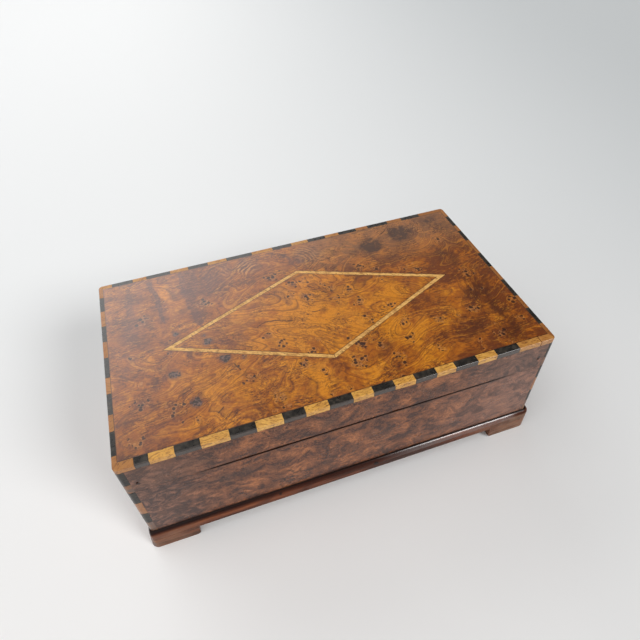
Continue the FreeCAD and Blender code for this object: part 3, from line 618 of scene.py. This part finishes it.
def burr_sides():
    """Red-brown mottled burr of the front, ends and back, with dark grey clouds."""
    paint = Paint("burr_sides", coat=0.06, coat_roughness=0.22, specular=0.3)
    smoke, gold = map(paint.attribute, ("smoke", "gold"))
    at = paint.at
    bent = at.swirled(36, 24).swirled(9, 8)
    slope = bent.stretched(0.6, 0.6, 1)
    mottle = slope.noise(9, 4, 0.55)
    curl = bent.stretched(0.5, 0.5, 1).noise(3, 3, 0.65)
    fibre = bent.stretched(0.4, 0.4, 1).noise(1.1, 2, 0.65)
    ripple = (curl - 0.5) * 0.8 + (fibre - 0.5) * 0.55
    bright = gold * 0.26 + (mottle * 0.75 + 0.125 + ripple)
    paint.colour = paint.mix(bright.rise(0.37, 0.52), (64, 36, 27), (122, 72, 45))
    paint.lay(bright.rise(0.52, 0.74), 176, 110, 66)
    haze = slope.noise(9, 3, 0.6).rise(0.55, 0.75, 0.4)
    cloud = (smoke * 0.75 + haze) * curl.fade(0.3, 0.66, 0.45, 1.1)
    paint.lay(cloud.rise(0.1, 1, 0.8), 56, 43, 39)
    paint.lay(fibre.rise(0.5, 0.7, 0.78), 46, 25, 18)
    dot, ring = burr_pips(paint, at.swirled(3, 1), at.noise(14, 2).rise(0.56, 0.7))
    paint.lay(ring * 0.2, 150, 92, 62)
    paint.lay(dot * 0.7, 34, 20, 16)

    # A painted reflection, a pale greyish veil, spreads over both ends of the front; painted shade, with
    # some dirt, darkens above the plinth and along the lid line, but not at the ends of the line
    across = paint.x
    ends = across.rise(-104, -84) * across.fall(100, 122)
    # Painted reflection: a pale greyish veil over both ends of the front
    painted_veil = across.rise(40, 120, 0.58).most(across.fall(-134, -66, 0.66))
    painted_veil = painted_veil * paint.y.fall(FRONT_FACE / MM + 1, FRONT_FACE / MM + 6)
    upper = paint.z.rise(LID_LINE / MM - 1, LID_LINE / MM + 1)
    base_painted_veil = paint.mix(across.rise(-30, 30), (74, 58, 54), (142, 108, 95))
    lid_painted_veil = paint.mix(across.rise(-30, 30), (98, 74, 63), (106, 86, 78))
    painted_veil_tone = paint.mix(upper, base_painted_veil, lid_painted_veil)
    painted_veil_tone = paint.mix(mottle.fall(0.4, 0.56, 0.44), painted_veil_tone, (62, 43, 40))
    painted_veil_tone = paint.mix(curl.rise(0.46, 0.66, 0.5), painted_veil_tone, (176, 126, 104))
    paint.lay(painted_veil * curl.fade(0.3, 0.6, 0.7, 1.1), painted_veil_tone)
    paint.lay(upper * 0.12, 52, 40, 36)
    grit = at.noise(0.9, 2, 0.7)
    clear = painted_veil.fade(0, 0.56, 1, 0.6)
    paint.lay(grit.rise(0.48, 0.7, 0.5) * clear, 42, 25, 19)
    paint.lay(grit.fall(0.28, 0.46, 0.3) * clear, 186, 130, 98)
    # Painted shade, with some dirt, in the crevice above the plinth and in the open lid line
    above_plinth = (paint.z - PLINTH_TOP / MM).fall(0.2, 1.6, 0.75)
    at_line = abs(paint.z - LID_LINE / MM).fall(0.6, 1.6, 0.85)
    paint.lay(above_plinth.most(at_line * ends), 34, 20, 16)
    for pixel, radius in NAIL_MARKS:
        place = point_on(pixel, 1, FRONT_FACE) / MM
        away = at.swirled(2, 1.2).distance(tuple(place))
        paint.lay(away.fall(radius * 0.5, radius, 0.85), 30, 19, 16)
    roughness = at.noise(20, 3, 0.6).fade(0.3, 0.7, 0.26, 0.36)
    return paint.finish(roughness, fibre * 0.3 - dot, 0.04, 0.35)


def boxwood(name, low, high):
    """Yellow close-grained wood; each block has its own tone and its own slant of grain."""
    paint = Paint(name, coat=0.35, coat_roughness=0.25, specular=0.45)
    tone, warm = map(paint.attribute, ("tone", "warm"))
    offset = paint.node("ShaderNodeCombineXYZ", {0: tone * 90, 1: tone * 57})
    at = paint.at.moved(offset)
    bent = at.turned((tone - 0.5) * 2).swirled(6, 2.2)
    grain = bent.stretched(0.2, 1, 0.7).noise(0.9, 2, 0.65)
    slow = at.noise(5, 2)
    pale = paint.mix(tone, low, high)
    deep = paint.mix(tone, (156, 98, 46), (174, 116, 62))
    dull = paint.mix(tone, (96, 64, 40), (124, 84, 54))
    paint.colour = paint.mix(warm, pale, deep)
    paint.lay(warm - 1, dull)
    paint.lay(warm - 2, 70, 52, 44)
    paint.lay(slow.rise(0.4, 0.65, 0.4), 164, 104, 38)
    paint.lay(grain.rise(0.48, 0.68, 0.65), 130, 72, 26)
    paint.lay(bent.stretched(0.35, 1, 0.8).noise(0.9, 1).rise(0.63, 0.72, 0.62), 84, 44, 20)
    paint.lay(at.noise(2.6, 3, 0.65).rise(0.58, 0.72, 0.5), 112, 62, 26)
    return paint.finish(slow.fade(0.3, 0.7, 0.3, 0.42), grain, 0.05, 0.4)


def ebony(name, coat, specular):
    """Black wood with faint brown-grey streaks and open pores."""
    paint = Paint(name, coat=coat, coat_roughness=0.14, specular=specular)
    tone = paint.attribute("tone")
    offset = paint.node("ShaderNodeCombineXYZ", {0: tone * 70, 2: tone * 31})
    at = paint.at.moved(offset)
    along = at.swirled(9, 3).stretched(0.3, 0.3, 1)
    streak = along.noise(1.4, 3, 0.6)
    paint.colour = paint.mix(streak.rise(0.42, 0.7), (34, 31, 28), (60, 54, 46))
    pore = along.noise(0.6, 1)
    paint.lay(pore.rise(0.62, 0.74, 0.6), 76, 66, 56)

    # Paler brown on the front faces: partly stain worn thin, partly painted reflection
    bare_and_sheen = paint.y.fall(FRONT_FACE / MM + 0.15, FRONT_FACE / MM + 0.7, 0.24)
    bare_and_sheen = bare_and_sheen * paint.z.rise(LID_TOP / MM - 6, LID_TOP / MM - 4.5)
    paint.lay(bare_and_sheen * streak.fade(0.3, 0.65, 0.6, 1.1), 92, 70, 58)
    return paint.finish(streak.fade(0.35, 0.7, 0.26, 0.4), pore, 0.04, 0.35)


def long_grain(name, tones, rough_low, rough_high, specular, coat_roughness, wave, band, stretch):
    """Straight-grained wood, cut along each piece's own length, which the attribute along_x gives."""
    dark, mid, light, pore = tones
    paint = Paint(name, coat_roughness=coat_roughness, specular=specular)
    along_x, tone = map(paint.attribute, ("along_x", "tone"))
    crosswise = paint.at.turned(math.pi / 2)
    picked = paint.node("ShaderNodeMix", {0: along_x, 4: crosswise, 5: paint.at}, 1, data_type="VECTOR")
    offset = paint.node("ShaderNodeCombineXYZ", {0: tone * 300, 1: tone * 83})
    at = picked.moved(offset)
    bent = at.swirled(60, wave)
    long = bent.stretched(stretch, 1, 1)
    bands = long.noise(band, 3, 0.6)
    rings = (long.noise(band * 2.4, 1) * 24).line_noise(2)
    paint.colour = paint.mix(bands.rise(0.34, 0.56), dark, mid)
    paint.lay(bands.rise(0.52, 0.74), light)
    paint.lay(rings.rise(0.5, 0.72, 0.5), dark)
    fibre = bent.stretched(0.05, 1, 1).noise(0.8, 2, 0.6)
    paint.lay(fibre.rise(0.54, 0.74, 0.55), pore)
    return paint, fibre, bands.fade(0.3, 0.7, rough_low, rough_high)


def plinth_wood():
    """Dark red-brown hardwood of the plinth and feet, with painted shade and some dirt where it meets the
    carcass.
    """
    paint, fibre, roughness = long_grain(
        "plinth_wood", ((58, 26, 12), (104, 52, 26), (142, 80, 43), (36, 17, 9)),
        0.22, 0.34, specular=0.12, coat_roughness=0.27, wave=14, band=9.0, stretch=0.09,
    )
    paint.set("Coat IOR", PLINTH_COAT_IOR)
    patch = paint.at.noise(11, 3, 0.6)
    below = PLINTH_TOP / MM - paint.z
    rightward = paint.x.rise(*SHINE_START)
    # Painted shade, with some dirt, in the crevice under the carcass and over the top of the nose towards
    # the left
    crevice_shade = below.fall(0.6, 1, 0.97)
    shade_and_grime = below.fall(1.4, 3.6, 0.9) * (1 - rightward)
    paint.lay(shade_and_grime * patch.fade(0.25, 0.5, 0.75, 1), 50, 19, 9)
    leftward = paint.x.fall(-110, -20) * paint.x.rise(-142, -140)
    left_shade_and_dirt = below.fall(0.9, 2.4, 0.95) * leftward * patch.fade(0.25, 0.5, 0.6, 1)
    paint.lay(crevice_shade.most(left_shade_and_dirt), 26, 12, 8)
    # A paler grey-brown at both ends: partly the wood's own tone, partly painted reflection
    tan_and_sheen = paint.x.rise(*TAN_AND_SHEEN_START).most(paint.x.fall(-132, -100, 0.7)) * below.rise(2, 4)
    paint.lay(tan_and_sheen * patch.fade(0.3, 0.6, 0.25, 0.7), 146, 108, 82)
    # Painted shade along the bottom edge, where the plinth and feet meet the floor
    paint.lay(paint.z.fall(0.3, 1.4, 0.6) * patch.rise(0.4, 0.6), 58, 40, 30)
    for pixel, radius in PLINTH_SCARS:
        place = point_on(pixel, 1, PLINTH_FACE) / MM
        away = paint.at.swirled(3, 2).distance(tuple(place))
        paint.lay(away.fall(radius * 0.4, radius, 0.85), 22, 14, 12)
    nose = below.fall(3, 5) * below.rise(0.6, 0.95)
    shine = nose * paint.x.fall(*SHINE_END) * (rightward * 0.95 + 0.05)
    paint.set("Coat Weight", shine * patch.fade(0.3, 0.5, 0.7, 1))
    return paint.finish(roughness, fibre, 0.05, 0.35)


def carcass_wood():
    """Plain reddish softwood of the walls and boards, unpolished inside, a little stained."""
    paint, fibre, roughness = long_grain(
        "carcass_wood", ((126, 80, 48), (164, 112, 72), (186, 136, 92), (92, 54, 32)),
        0.5, 0.66, specular=0.4, coat_roughness=0.2, wave=6, band=5.0, stretch=0.035,
    )
    paint.lay(paint.at.noise(34, 4, 0.6).rise(0.5, 0.72, 0.45), 96, 62, 40)
    paint.lay(paint.at.noise(4, 2).rise(0.7, 0.76, 0.5), 58, 36, 24)

    # Painted shade, with some dirt, in the lid line at the front
    outer = paint.y.fall(FRONT_FACE / MM + 1, FRONT_FACE / MM + 4, 0.95)
    paint.lay(outer * abs(paint.z - LID_LINE / MM).fall(1.6, 3), 22, 14, 11)
    return paint.finish(roughness, fibre, 0.12, 0.4)


def metal(name, bright, dull, dark, rough_low, rough_high):
    """Old metal: tarnish in clouds, fine scratches and dark spots."""
    paint = Paint(name, metallic=1)
    tarnish = paint.at.noise(3.4, 4, 0.62)
    scratch = paint.at.stretched(0.08, 1, 1).noise(0.35, 2)
    paint.colour = paint.mix(tarnish.rise(0.4, 0.66), bright, dull)
    paint.lay(scratch.rise(0.56, 0.7, 0.35), dark)
    paint.lay(paint.at.noise(0.9, 2).rise(0.64, 0.74, 0.7), dark)
    return paint.finish(tarnish.fade(0.3, 0.7, rough_low, rough_high), scratch, 0.02, 0.3)


def floor_material():
    """Pale floor with painted shade: a little darker towards the back and the right."""
    paint = Paint("floor", specular=0.2)
    paint.colour = paint.mix(paint.at.noise(160, 3).rise(0.3, 0.7), (241, 240, 239), (243, 242, 241))
    # Painted shade: darker towards the back and the right, as the light falls off
    paint.lay(paint.y.rise(-200, 250), 234, 235, 235)
    paint.lay(paint.x.rise(-150, 800), 196, 199, 200)
    return paint.finish(0.6, paint.at.noise(5, 2), 0.05, 0.1)


def welded(node):
    """A node's mesh with its split vertices joined again and its flat faces whole."""
    work = bmesh.new()
    work.from_mesh(frame["nodes"][node].data)
    part_touching_blocks(work)
    bmesh.ops.remove_doubles(work, verts=work.verts[:], dist=WELD_DISTANCE)
    bmesh.ops.dissolve_limit(work, angle_limit=FLAT_ANGLE, verts=work.verts[:], edges=work.edges[:])
    return work


def part_touching_blocks(work):
    """Opens a hairline joint where two blocks of one node meet end to end along the front."""
    ends = {}
    for face in work.faces:
        if abs(face.normal.x) > SQUARE_ON:
            key = round(face.calc_center_median().x / TOUCH_DISTANCE)
            ends.setdefault(key, set()).add(face.normal.x > 0)
    for place in [key * TOUCH_DISTANCE for key, sides in ends.items() if len(sides) == 2]:
        moved = set()
        for face in work.faces:
            beyond = face.calc_center_median().x - place
            if beyond > TOUCH_DISTANCE or (abs(beyond) < TOUCH_DISTANCE and face.normal.x < 0):
                moved.update(face.verts)
        for vert in moved:
            if abs(vert.co.x - place) < TOUCH_DISTANCE:
                vert.co.x += BLOCK_GAP


def islands(work):
    """The vertices of each separate block."""
    found = []
    seen = set()
    for first in work.verts:
        if first in seen:
            continue
        group = [first]
        seen.add(first)
        for vert in group:
            for edge in vert.link_edges:
                other = edge.other_vert(vert)
                if other not in seen:
                    seen.add(other)
                    group.append(other)
        found.append(group)
    return found


def piece(node, work, material, values=None):
    """A finished object that stands for a node; values are numbers kept at each vertex."""
    mesh = bpy.data.meshes.new(node + "_dressed")
    for face in work.faces:
        face.smooth = True
    work.to_mesh(mesh)
    work.free()
    if "custom_normal" in mesh.attributes:
        mesh.attributes.remove(mesh.attributes["custom_normal"])
    mesh.set_sharp_from_angle(angle=BEND_ANGLE)
    for name, numbers in (values or {}).items():
        kept = mesh.attributes.new(name, "FLOAT", "POINT")
        kept.data.foreach_set("value", np.asarray(numbers, np.float32))
    mesh.materials.clear()
    mesh.materials.append(material)
    obj = add_object(node + "_dressed", mesh)
    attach(obj, frame["nodes"][node]["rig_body"])
    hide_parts(node)
    return obj


def soften(obj, width):
    """Rounds a piece's sharp edges by a width in mm."""
    bevel = obj.modifiers.new("softened_edges", "BEVEL")
    bevel.width = width * MM
    bevel.segments = 2
    bevel.limit_method = "ANGLE"
    bevel.angle_limit = BEND_ANGLE
    bevel.harden_normals = True
    return obj


def wear_arris(obj, outward, width):
    """Rounds the top outer edge of an edging by a width in mm, and its other sharp edges by a little."""
    mesh = obj.data
    work = bmesh.new()
    work.from_mesh(mesh)
    work.normal_update()
    weights = []
    for edge in work.edges:
        faces = edge.link_faces
        sharp = len(faces) == 2 and faces[0].normal.angle(faces[1].normal) > BEND_ANGLE
        outer = sharp and max(face.normal.dot(outward) for face in faces) > 0.5
        upper = sharp and max(face.normal.z for face in faces) > SQUARE_ON
        weights.append(1.0 if outer and upper else JOINT_EDGE_SHARE if sharp else 0.0)
    work.free()
    kept = mesh.attributes.new("bevel_weight_edge", "FLOAT", "EDGE")
    kept.data.foreach_set("value", np.asarray(weights, np.float32))
    soften(obj, width).modifiers["softened_edges"].limit_method = "WEIGHT"


def nearness(points, spots, plane_axes):
    """How near each point is to each spot, from 0 to that spot's strength, as a row for each spot."""
    rows = []
    for place, radius, strength in spots:
        off = points[:, plane_axes] - np.array(place)[plane_axes]
        rows.append(strength * np.exp(-(off ** 2).sum(1) / (radius * MM) ** 2))
    return np.array(rows)


def spread(points, spots, plane_axes):
    """The nearness of each point to all the spots together, up to 1."""
    return np.minimum(nearness(points, spots, plane_axes).sum(0), 1)


def placed(spots, axis, level):
    return [(point_on(spot[:2], axis, level), spot[2], spot[3]) for spot in spots]


def scattered(low, high, count, random):
    """Seeded spots inside a box, for the sides that the photograph doesn't show."""
    spots = []
    for _ in range(count):
        place = [random.uniform(a, b) for a, b in zip(low, high)]
        spots.append((Vector(place), random.uniform(*SPOT_RADII), random.uniform(*SPOT_STRENGTHS)))
    return spots


def sheet_of(node, outward, step):
    """The outer face of a veneer, cut into small cells, before it is given its thickness."""
    work = welded(node)
    away = [face for face in work.faces if face.normal.dot(outward) < SQUARE_ON]
    bmesh.ops.delete(work, geom=away, context="FACES")
    low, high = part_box(node)
    for axis, direction in enumerate(Matrix.Identity(3)):
        if direction.dot(outward):
            continue
        count = max(2, round((high[axis] - low[axis]) / step))
        for index in range(1, count):
            level = Vector(low)
            level[axis] += (high[axis] - low[axis]) * index / count
            whole = work.verts[:] + work.edges[:] + work.faces[:]
            bmesh.ops.bisect_plane(work, geom=whole, dist=WELD_DISTANCE, plane_co=level, plane_no=direction)
    return work


def thicken(work, inward):
    """Closes a sheet into a thin solid: walls along every open edge and a back face."""
    rim = [edge for edge in work.edges if len(edge.link_faces) == 1]
    made = bmesh.ops.extrude_edge_only(work, edges=rim)["geom"]
    back_verts = [item for item in made if isinstance(item, bmesh.types.BMVert)]
    bmesh.ops.translate(work, verts=back_verts, vec=inward)
    held = set(back_verts)
    back_edges = [
        item for item in made if isinstance(item, bmesh.types.BMEdge) and held.issuperset(item.verts)
    ]
    bmesh.ops.triangle_fill(work, edges=back_edges, use_beauty=True)
    bmesh.ops.recalc_face_normals(work, faces=work.faces[:])


def points_of(work):
    return np.array([vert.co[:] for vert in work.verts])


def make_top(materials):
    """The lid's veneer: the field and the lozenge, with what the material needs to know at each point."""
    flat = [0, 1]
    eyes = EYE_CLUSTERS + tuple(spot + (SINGLE_PIP_RADIUS, 1) for spot in SINGLE_PIPS)
    for node in ("lid_top_veneer", "lid_lozenge_veneer"):
        work = sheet_of(node, Vector((0, 0, 1)), TOP_CELL)
        low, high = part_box(node)
        thicken(work, Vector((0, 0, low.z - high.z)))
        points = points_of(work)
        values = {}
        for name, spots in (("eyes", eyes), ("knot", KNOTS)):
            values[name] = nearness(points, placed(spots, 2, LID_TOP), flat).max(0)
        for name, spots in (("dusk", DUSK_SPOTS), ("smoke", SMOKE_SPOTS), ("gold", GOLD_SPOTS)):
            values[name] = spread(points, placed(spots, 2, LID_TOP), flat)
        piece(node, work, materials[node], values)


def worn(share):
    """Wear of the lid line along the front, from the left end at -1 to the right end at 1."""
    middle = 1 / (1 + math.exp((WEAR_START - share) * 26)) / (1 + math.exp((share - WEAR_END) * 22))
    return middle * (0.75 - 0.35 * share) * (0.85 + 0.15 * math.sin(share * 31) * math.sin(share * 13))


def make_sides(material):
    random = np.random.default_rng(SEED)
    for side, outward in SIDES.items():
        names = [body + side + "_veneer" for body in ("base_", "lid_")]
        across = [0, 2] if outward.y else [1, 2]
        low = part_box(names[0])[0]
        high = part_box(names[1])[1]
        if side == "front":
            smoke = placed(FRONT_SMOKE_SPOTS, 1, low.y)
            gold = placed(FRONT_GOLD_SPOTS, 1, low.y)
        else:
            count = BACK_SPOT_COUNT if side == "back" else END_SPOT_COUNT
            smoke = scattered(low, high, count, random)
            gold = scattered(low, high, count // 2, random)
        for node in names:
            work = sheet_of(node, outward, SIDE_CELL)
            if side == "front":
                wear_edge(work, node)
            box_low, box_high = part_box(node)
            thicken(work, -abs((box_high - box_low).dot(outward)) * outward)
            points = points_of(work)
            values = {"smoke": spread(points, smoke, across), "gold": spread(points, gold, across)}
            piece(node, work, material, values)


def wear_edge(work, node):
    """Wears the edge of the front veneer along the lid line; near both ends the line is almost shut."""
    low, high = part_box(node)
    on_lid = node.startswith("lid")
    level = low.z if on_lid else high.z
    chip = point_on(EDGE_CHIP, 1, low.y).x
    for vert in work.verts:
        if abs(vert.co.z - level) > TOUCH_DISTANCE:
            continue
        wear = worn(vert.co.x / high.x)
        if on_lid:
            nick = math.exp(-((vert.co.x - chip) / CHIP_WIDTH) ** 2)
            vert.co.z += WORN_LID_EDGE * wear + CHIP_HEIGHT * nick
        else:
            vert.co.z += SHUT_BASE_EDGE * (1 - wear) ** 2 - WORN_BASE_EDGE * wear


def block_heat(node, middle):
    """How brown a block of boxwood is: 0 golden, 1 orange-brown, 2 dull brown, 3 dirty."""
    if "_corner_" in node:
        return 1.2 if CLEAN_CORNER[0] < middle.z < CLEAN_CORNER[1] else 2.7
    if "_front_" in node:
        return min(0.8, max((middle.x - 84) / 60, (-120 - middle.x) / 10, 0))
    if "_left_" in node:
        return 0.9
    if "_right_" in node:
        return 1.25
    return min(1.2, max(0.5, 0.5 + middle.x / 130))


def make_blocks(materials):
    """Edging and corner blocks, each with its own tone."""
    random = np.random.default_rng(SEED + 1)
    for node in sorted(frame["nodes"]):
        if "_edging_" not in node and "_corner_" not in node:
            continue
        kind = "boxwood" if "boxwood" in node else "ebony"
        work = welded(node)
        tone = np.zeros(len(work.verts))
        warm = np.zeros(len(work.verts))
        work.verts.index_update()
        for group in islands(work):
            own = random.uniform(0, 1)
            middle = sum((vert.co for vert in group), Vector()) / len(group)
            heat = block_heat(node, middle / MM)
            for vert in group:
                tone[vert.index] = own
                warm[vert.index] = heat
        upright = kind == "ebony" and "_corner_" in node
        material = materials["ebony_upright" if upright else kind]
        obj = piece(node, work, material, {"tone": tone, "warm": warm})
        side = next((side for side in SIDES if "_" + side + "_edging_" in node), None)
        if side is None:
            soften(obj, EDGE_WIDTHS["corner"])
        else:
            wear_arris(obj, SIDES[side], ARRIS_WIDTHS[side])


def make_stringing(material):
    """The four strips; one mitre, at the front, stands a little open."""
    front = lozenge_corners(STRINGING)[1] * MM
    for index, node in enumerate(STRINGING):
        work = welded(node)
        if node == "lid_stringing_front_right":
            low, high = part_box(node)
            along = Vector((high.x - front.x, high.y - front.y, 0)).normalized()
            for vert in work.verts:
                if vert.co.x < (low.x + high.x) / 2:
                    vert.co += along * MITRE_GAP
        count = len(work.verts)
        values = {"tone": np.full(count, 0.8 + 0.05 * index), "warm": np.zeros(count)}
        soften(piece(node, work, material, values), EDGE_WIDTHS["stringing"])


def make_long_pieces(materials):
    """Plinth, feet, walls and boards: straight-grained wood cut along each piece's length."""
    random = np.random.default_rng(SEED + 2)
    for node in sorted(frame["nodes"]):
        kind = long_kind(node)
        if kind is None:
            continue
        work = welded(node)
        if kind == "plinth_wood":
            lean_left_end(work)
        low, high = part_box(node)
        along = high.x - low.x > high.y - low.y
        count = len(work.verts)
        values = {"along_x": np.full(count, along), "tone": np.full(count, random.uniform(0, 1))}
        soften(piece(node, work, materials[kind], values), EDGE_WIDTHS[kind])


def lean_left_end(work):
    """Presses what stands beyond the carcass at the left end inwards, the most at the plinth's top."""
    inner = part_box("base_left_veneer")[0].x
    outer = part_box("plinth_left")[0].x
    for vert in work.verts:
        beyond = (vert.co.x - inner) / (outer - inner)
        vert.co.x += LEAN_IN * vert.co.z / PLINTH_TOP * min(1, max(0, beyond))


def long_kind(node):
    if node.startswith("plinth") or "bracket" in node:
        return "plinth_wood"
    if node.endswith("_wall") or node.endswith("_board") or node == "foot_glue_blocks":
        return "carcass_wood"
    return None


def make_metal(materials):
    """Hinges, screws and nails keep the shape of the solids and get aged brass and iron."""
    for node in sorted(frame["nodes"]):
        if "hinge" in node or node == "lid_nails":
            mesh = frame["nodes"][node].data
            mesh.materials.clear()
            mesh.materials.append(materials["brass" if "hinge" in node else "iron"])


def add_lamp(name, kind, strength, direction):
    """A lamp that shines from a direction."""
    lamp = add_object(name, bpy.data.lights.new(name, kind))
    lamp.data.energy = strength
    lamp.rotation_mode = "QUATERNION"
    lamp.rotation_quaternion = Vector(direction).to_track_quat("Z", "Y")
    return lamp


def softbox(name, place, width, height, radiance, spread_degrees, roll_degrees):
    """A rectangular lamp that faces the box, turned in its own plane; radiance is its face's brightness."""
    strength = radiance * math.pi * width * height
    lamp = add_lamp(name, "AREA", strength, Vector(place) - Vector(LAMP_TARGET))
    lamp.rotation_quaternion @= Quaternion((0, 0, 1), math.radians(roll_degrees))
    lamp.location = place
    lamp.visible_camera = False
    lamp.data.shape = "RECTANGLE"
    lamp.data.size = width
    lamp.data.size_y = height
    lamp.data.spread = math.radians(spread_degrees)


def far_lamp(name, direction, spread_degrees, strength):
    """A distant soft lamp that shines from a direction, evenly over the whole floor."""
    add_lamp(name, "SUN", strength, direction).data.angle = math.radians(spread_degrees)


def make_world():
    """A dim sky; what the camera, shiny surfaces and glass see of it is pale near the horizon."""
    world = bpy.data.worlds.new("studio")
    bpy.context.scene.world = world
    world.use_nodes = True
    sky = Nodes(world.node_tree)
    seen = 0
    for kind in ("Is Camera Ray", "Is Glossy Ray", "Is Transmission Ray"):
        seen = sky.node("ShaderNodeLightPath", output=kind).most(seen)
    height = sky.node("ShaderNodeTexCoord", output="Generated").axis(2)
    pale = height.fall(*HORIZON_HEIGHTS, WORLD_SEEN_LEVEL - WORLD_LEVEL)
    light = sky.tree.nodes["Background"].inputs
    sky.feed(light["Color"], (1, 1, 1, 1))
    sky.feed(light["Strength"], seen * pale + WORLD_LEVEL)


def make_studio():
    mesh = bpy.data.meshes.new("floor")
    profile = [(-FLOOR_HALF, 0.0), (BACKDROP_START, 0.0)]
    for index in range(1, BACKDROP_STEPS + 1):
        turn = BACKDROP_TURN * index / BACKDROP_STEPS
        profile.append((
            BACKDROP_START + BACKDROP_RADIUS * math.sin(turn), BACKDROP_RADIUS * (1 - math.cos(turn))
        ))
    rows = [[(-FLOOR_HALF, y, z), (FLOOR_HALF, y, z)] for y, z in profile]
    faces = [(2 * i, 2 * i + 1, 2 * i + 3, 2 * i + 2) for i in range(len(rows) - 1)]
    mesh.from_pydata([corner for row in rows for corner in row], [], faces)
    mesh.shade_smooth()
    mesh.materials.append(floor_material())
    add_object("floor", mesh)
    make_world()
    far_lamp("key", (0.50, -0.64, 0.58), spread_degrees=24, strength=1.68)
    far_lamp("fill", (-0.55, -0.26, 0.79), spread_degrees=80, strength=1.66)
    softbox("window", (-0.74, 1.82, 1.48), 2.8, 1.3, radiance=0.9, spread_degrees=110, roll_degrees=10)
    softbox("low_window", (0.80, 1.92, 1.28), 0.95, 0.5, radiance=0.5, spread_degrees=180, roll_degrees=0)
    bpy.context.scene.view_settings.view_transform = "Standard"


make_camera()
make_studio()
wood = {
    "boxwood": boxwood("boxwood", (214, 154, 64), (228, 178, 92)),
    "ebony": ebony("ebony", 0.6, 0.35),
    "ebony_upright": ebony("ebony_upright", 0.2, 0.2),
    "plinth_wood": plinth_wood(),
    "carcass_wood": carcass_wood(),
}
make_top({
    "lid_top_veneer": burr_top("burr_field", math.radians(-12), field_seam, 0.0, -0.11),
    "lid_lozenge_veneer": burr_top("burr_lozenge", math.radians(20), lozenge_seam, 0.1, 0.1),
})
make_sides(burr_sides())
make_blocks(wood)
make_stringing(boxwood("stringing", (218, 162, 84), (232, 182, 106)))
make_long_pieces(wood)
make_metal({
    "brass": metal("brass", (186, 142, 72), (128, 92, 48), (58, 42, 26), 0.28, 0.5),
    "iron": metal("iron", (92, 82, 76), (66, 50, 42), (30, 24, 20), 0.5, 0.75),
})
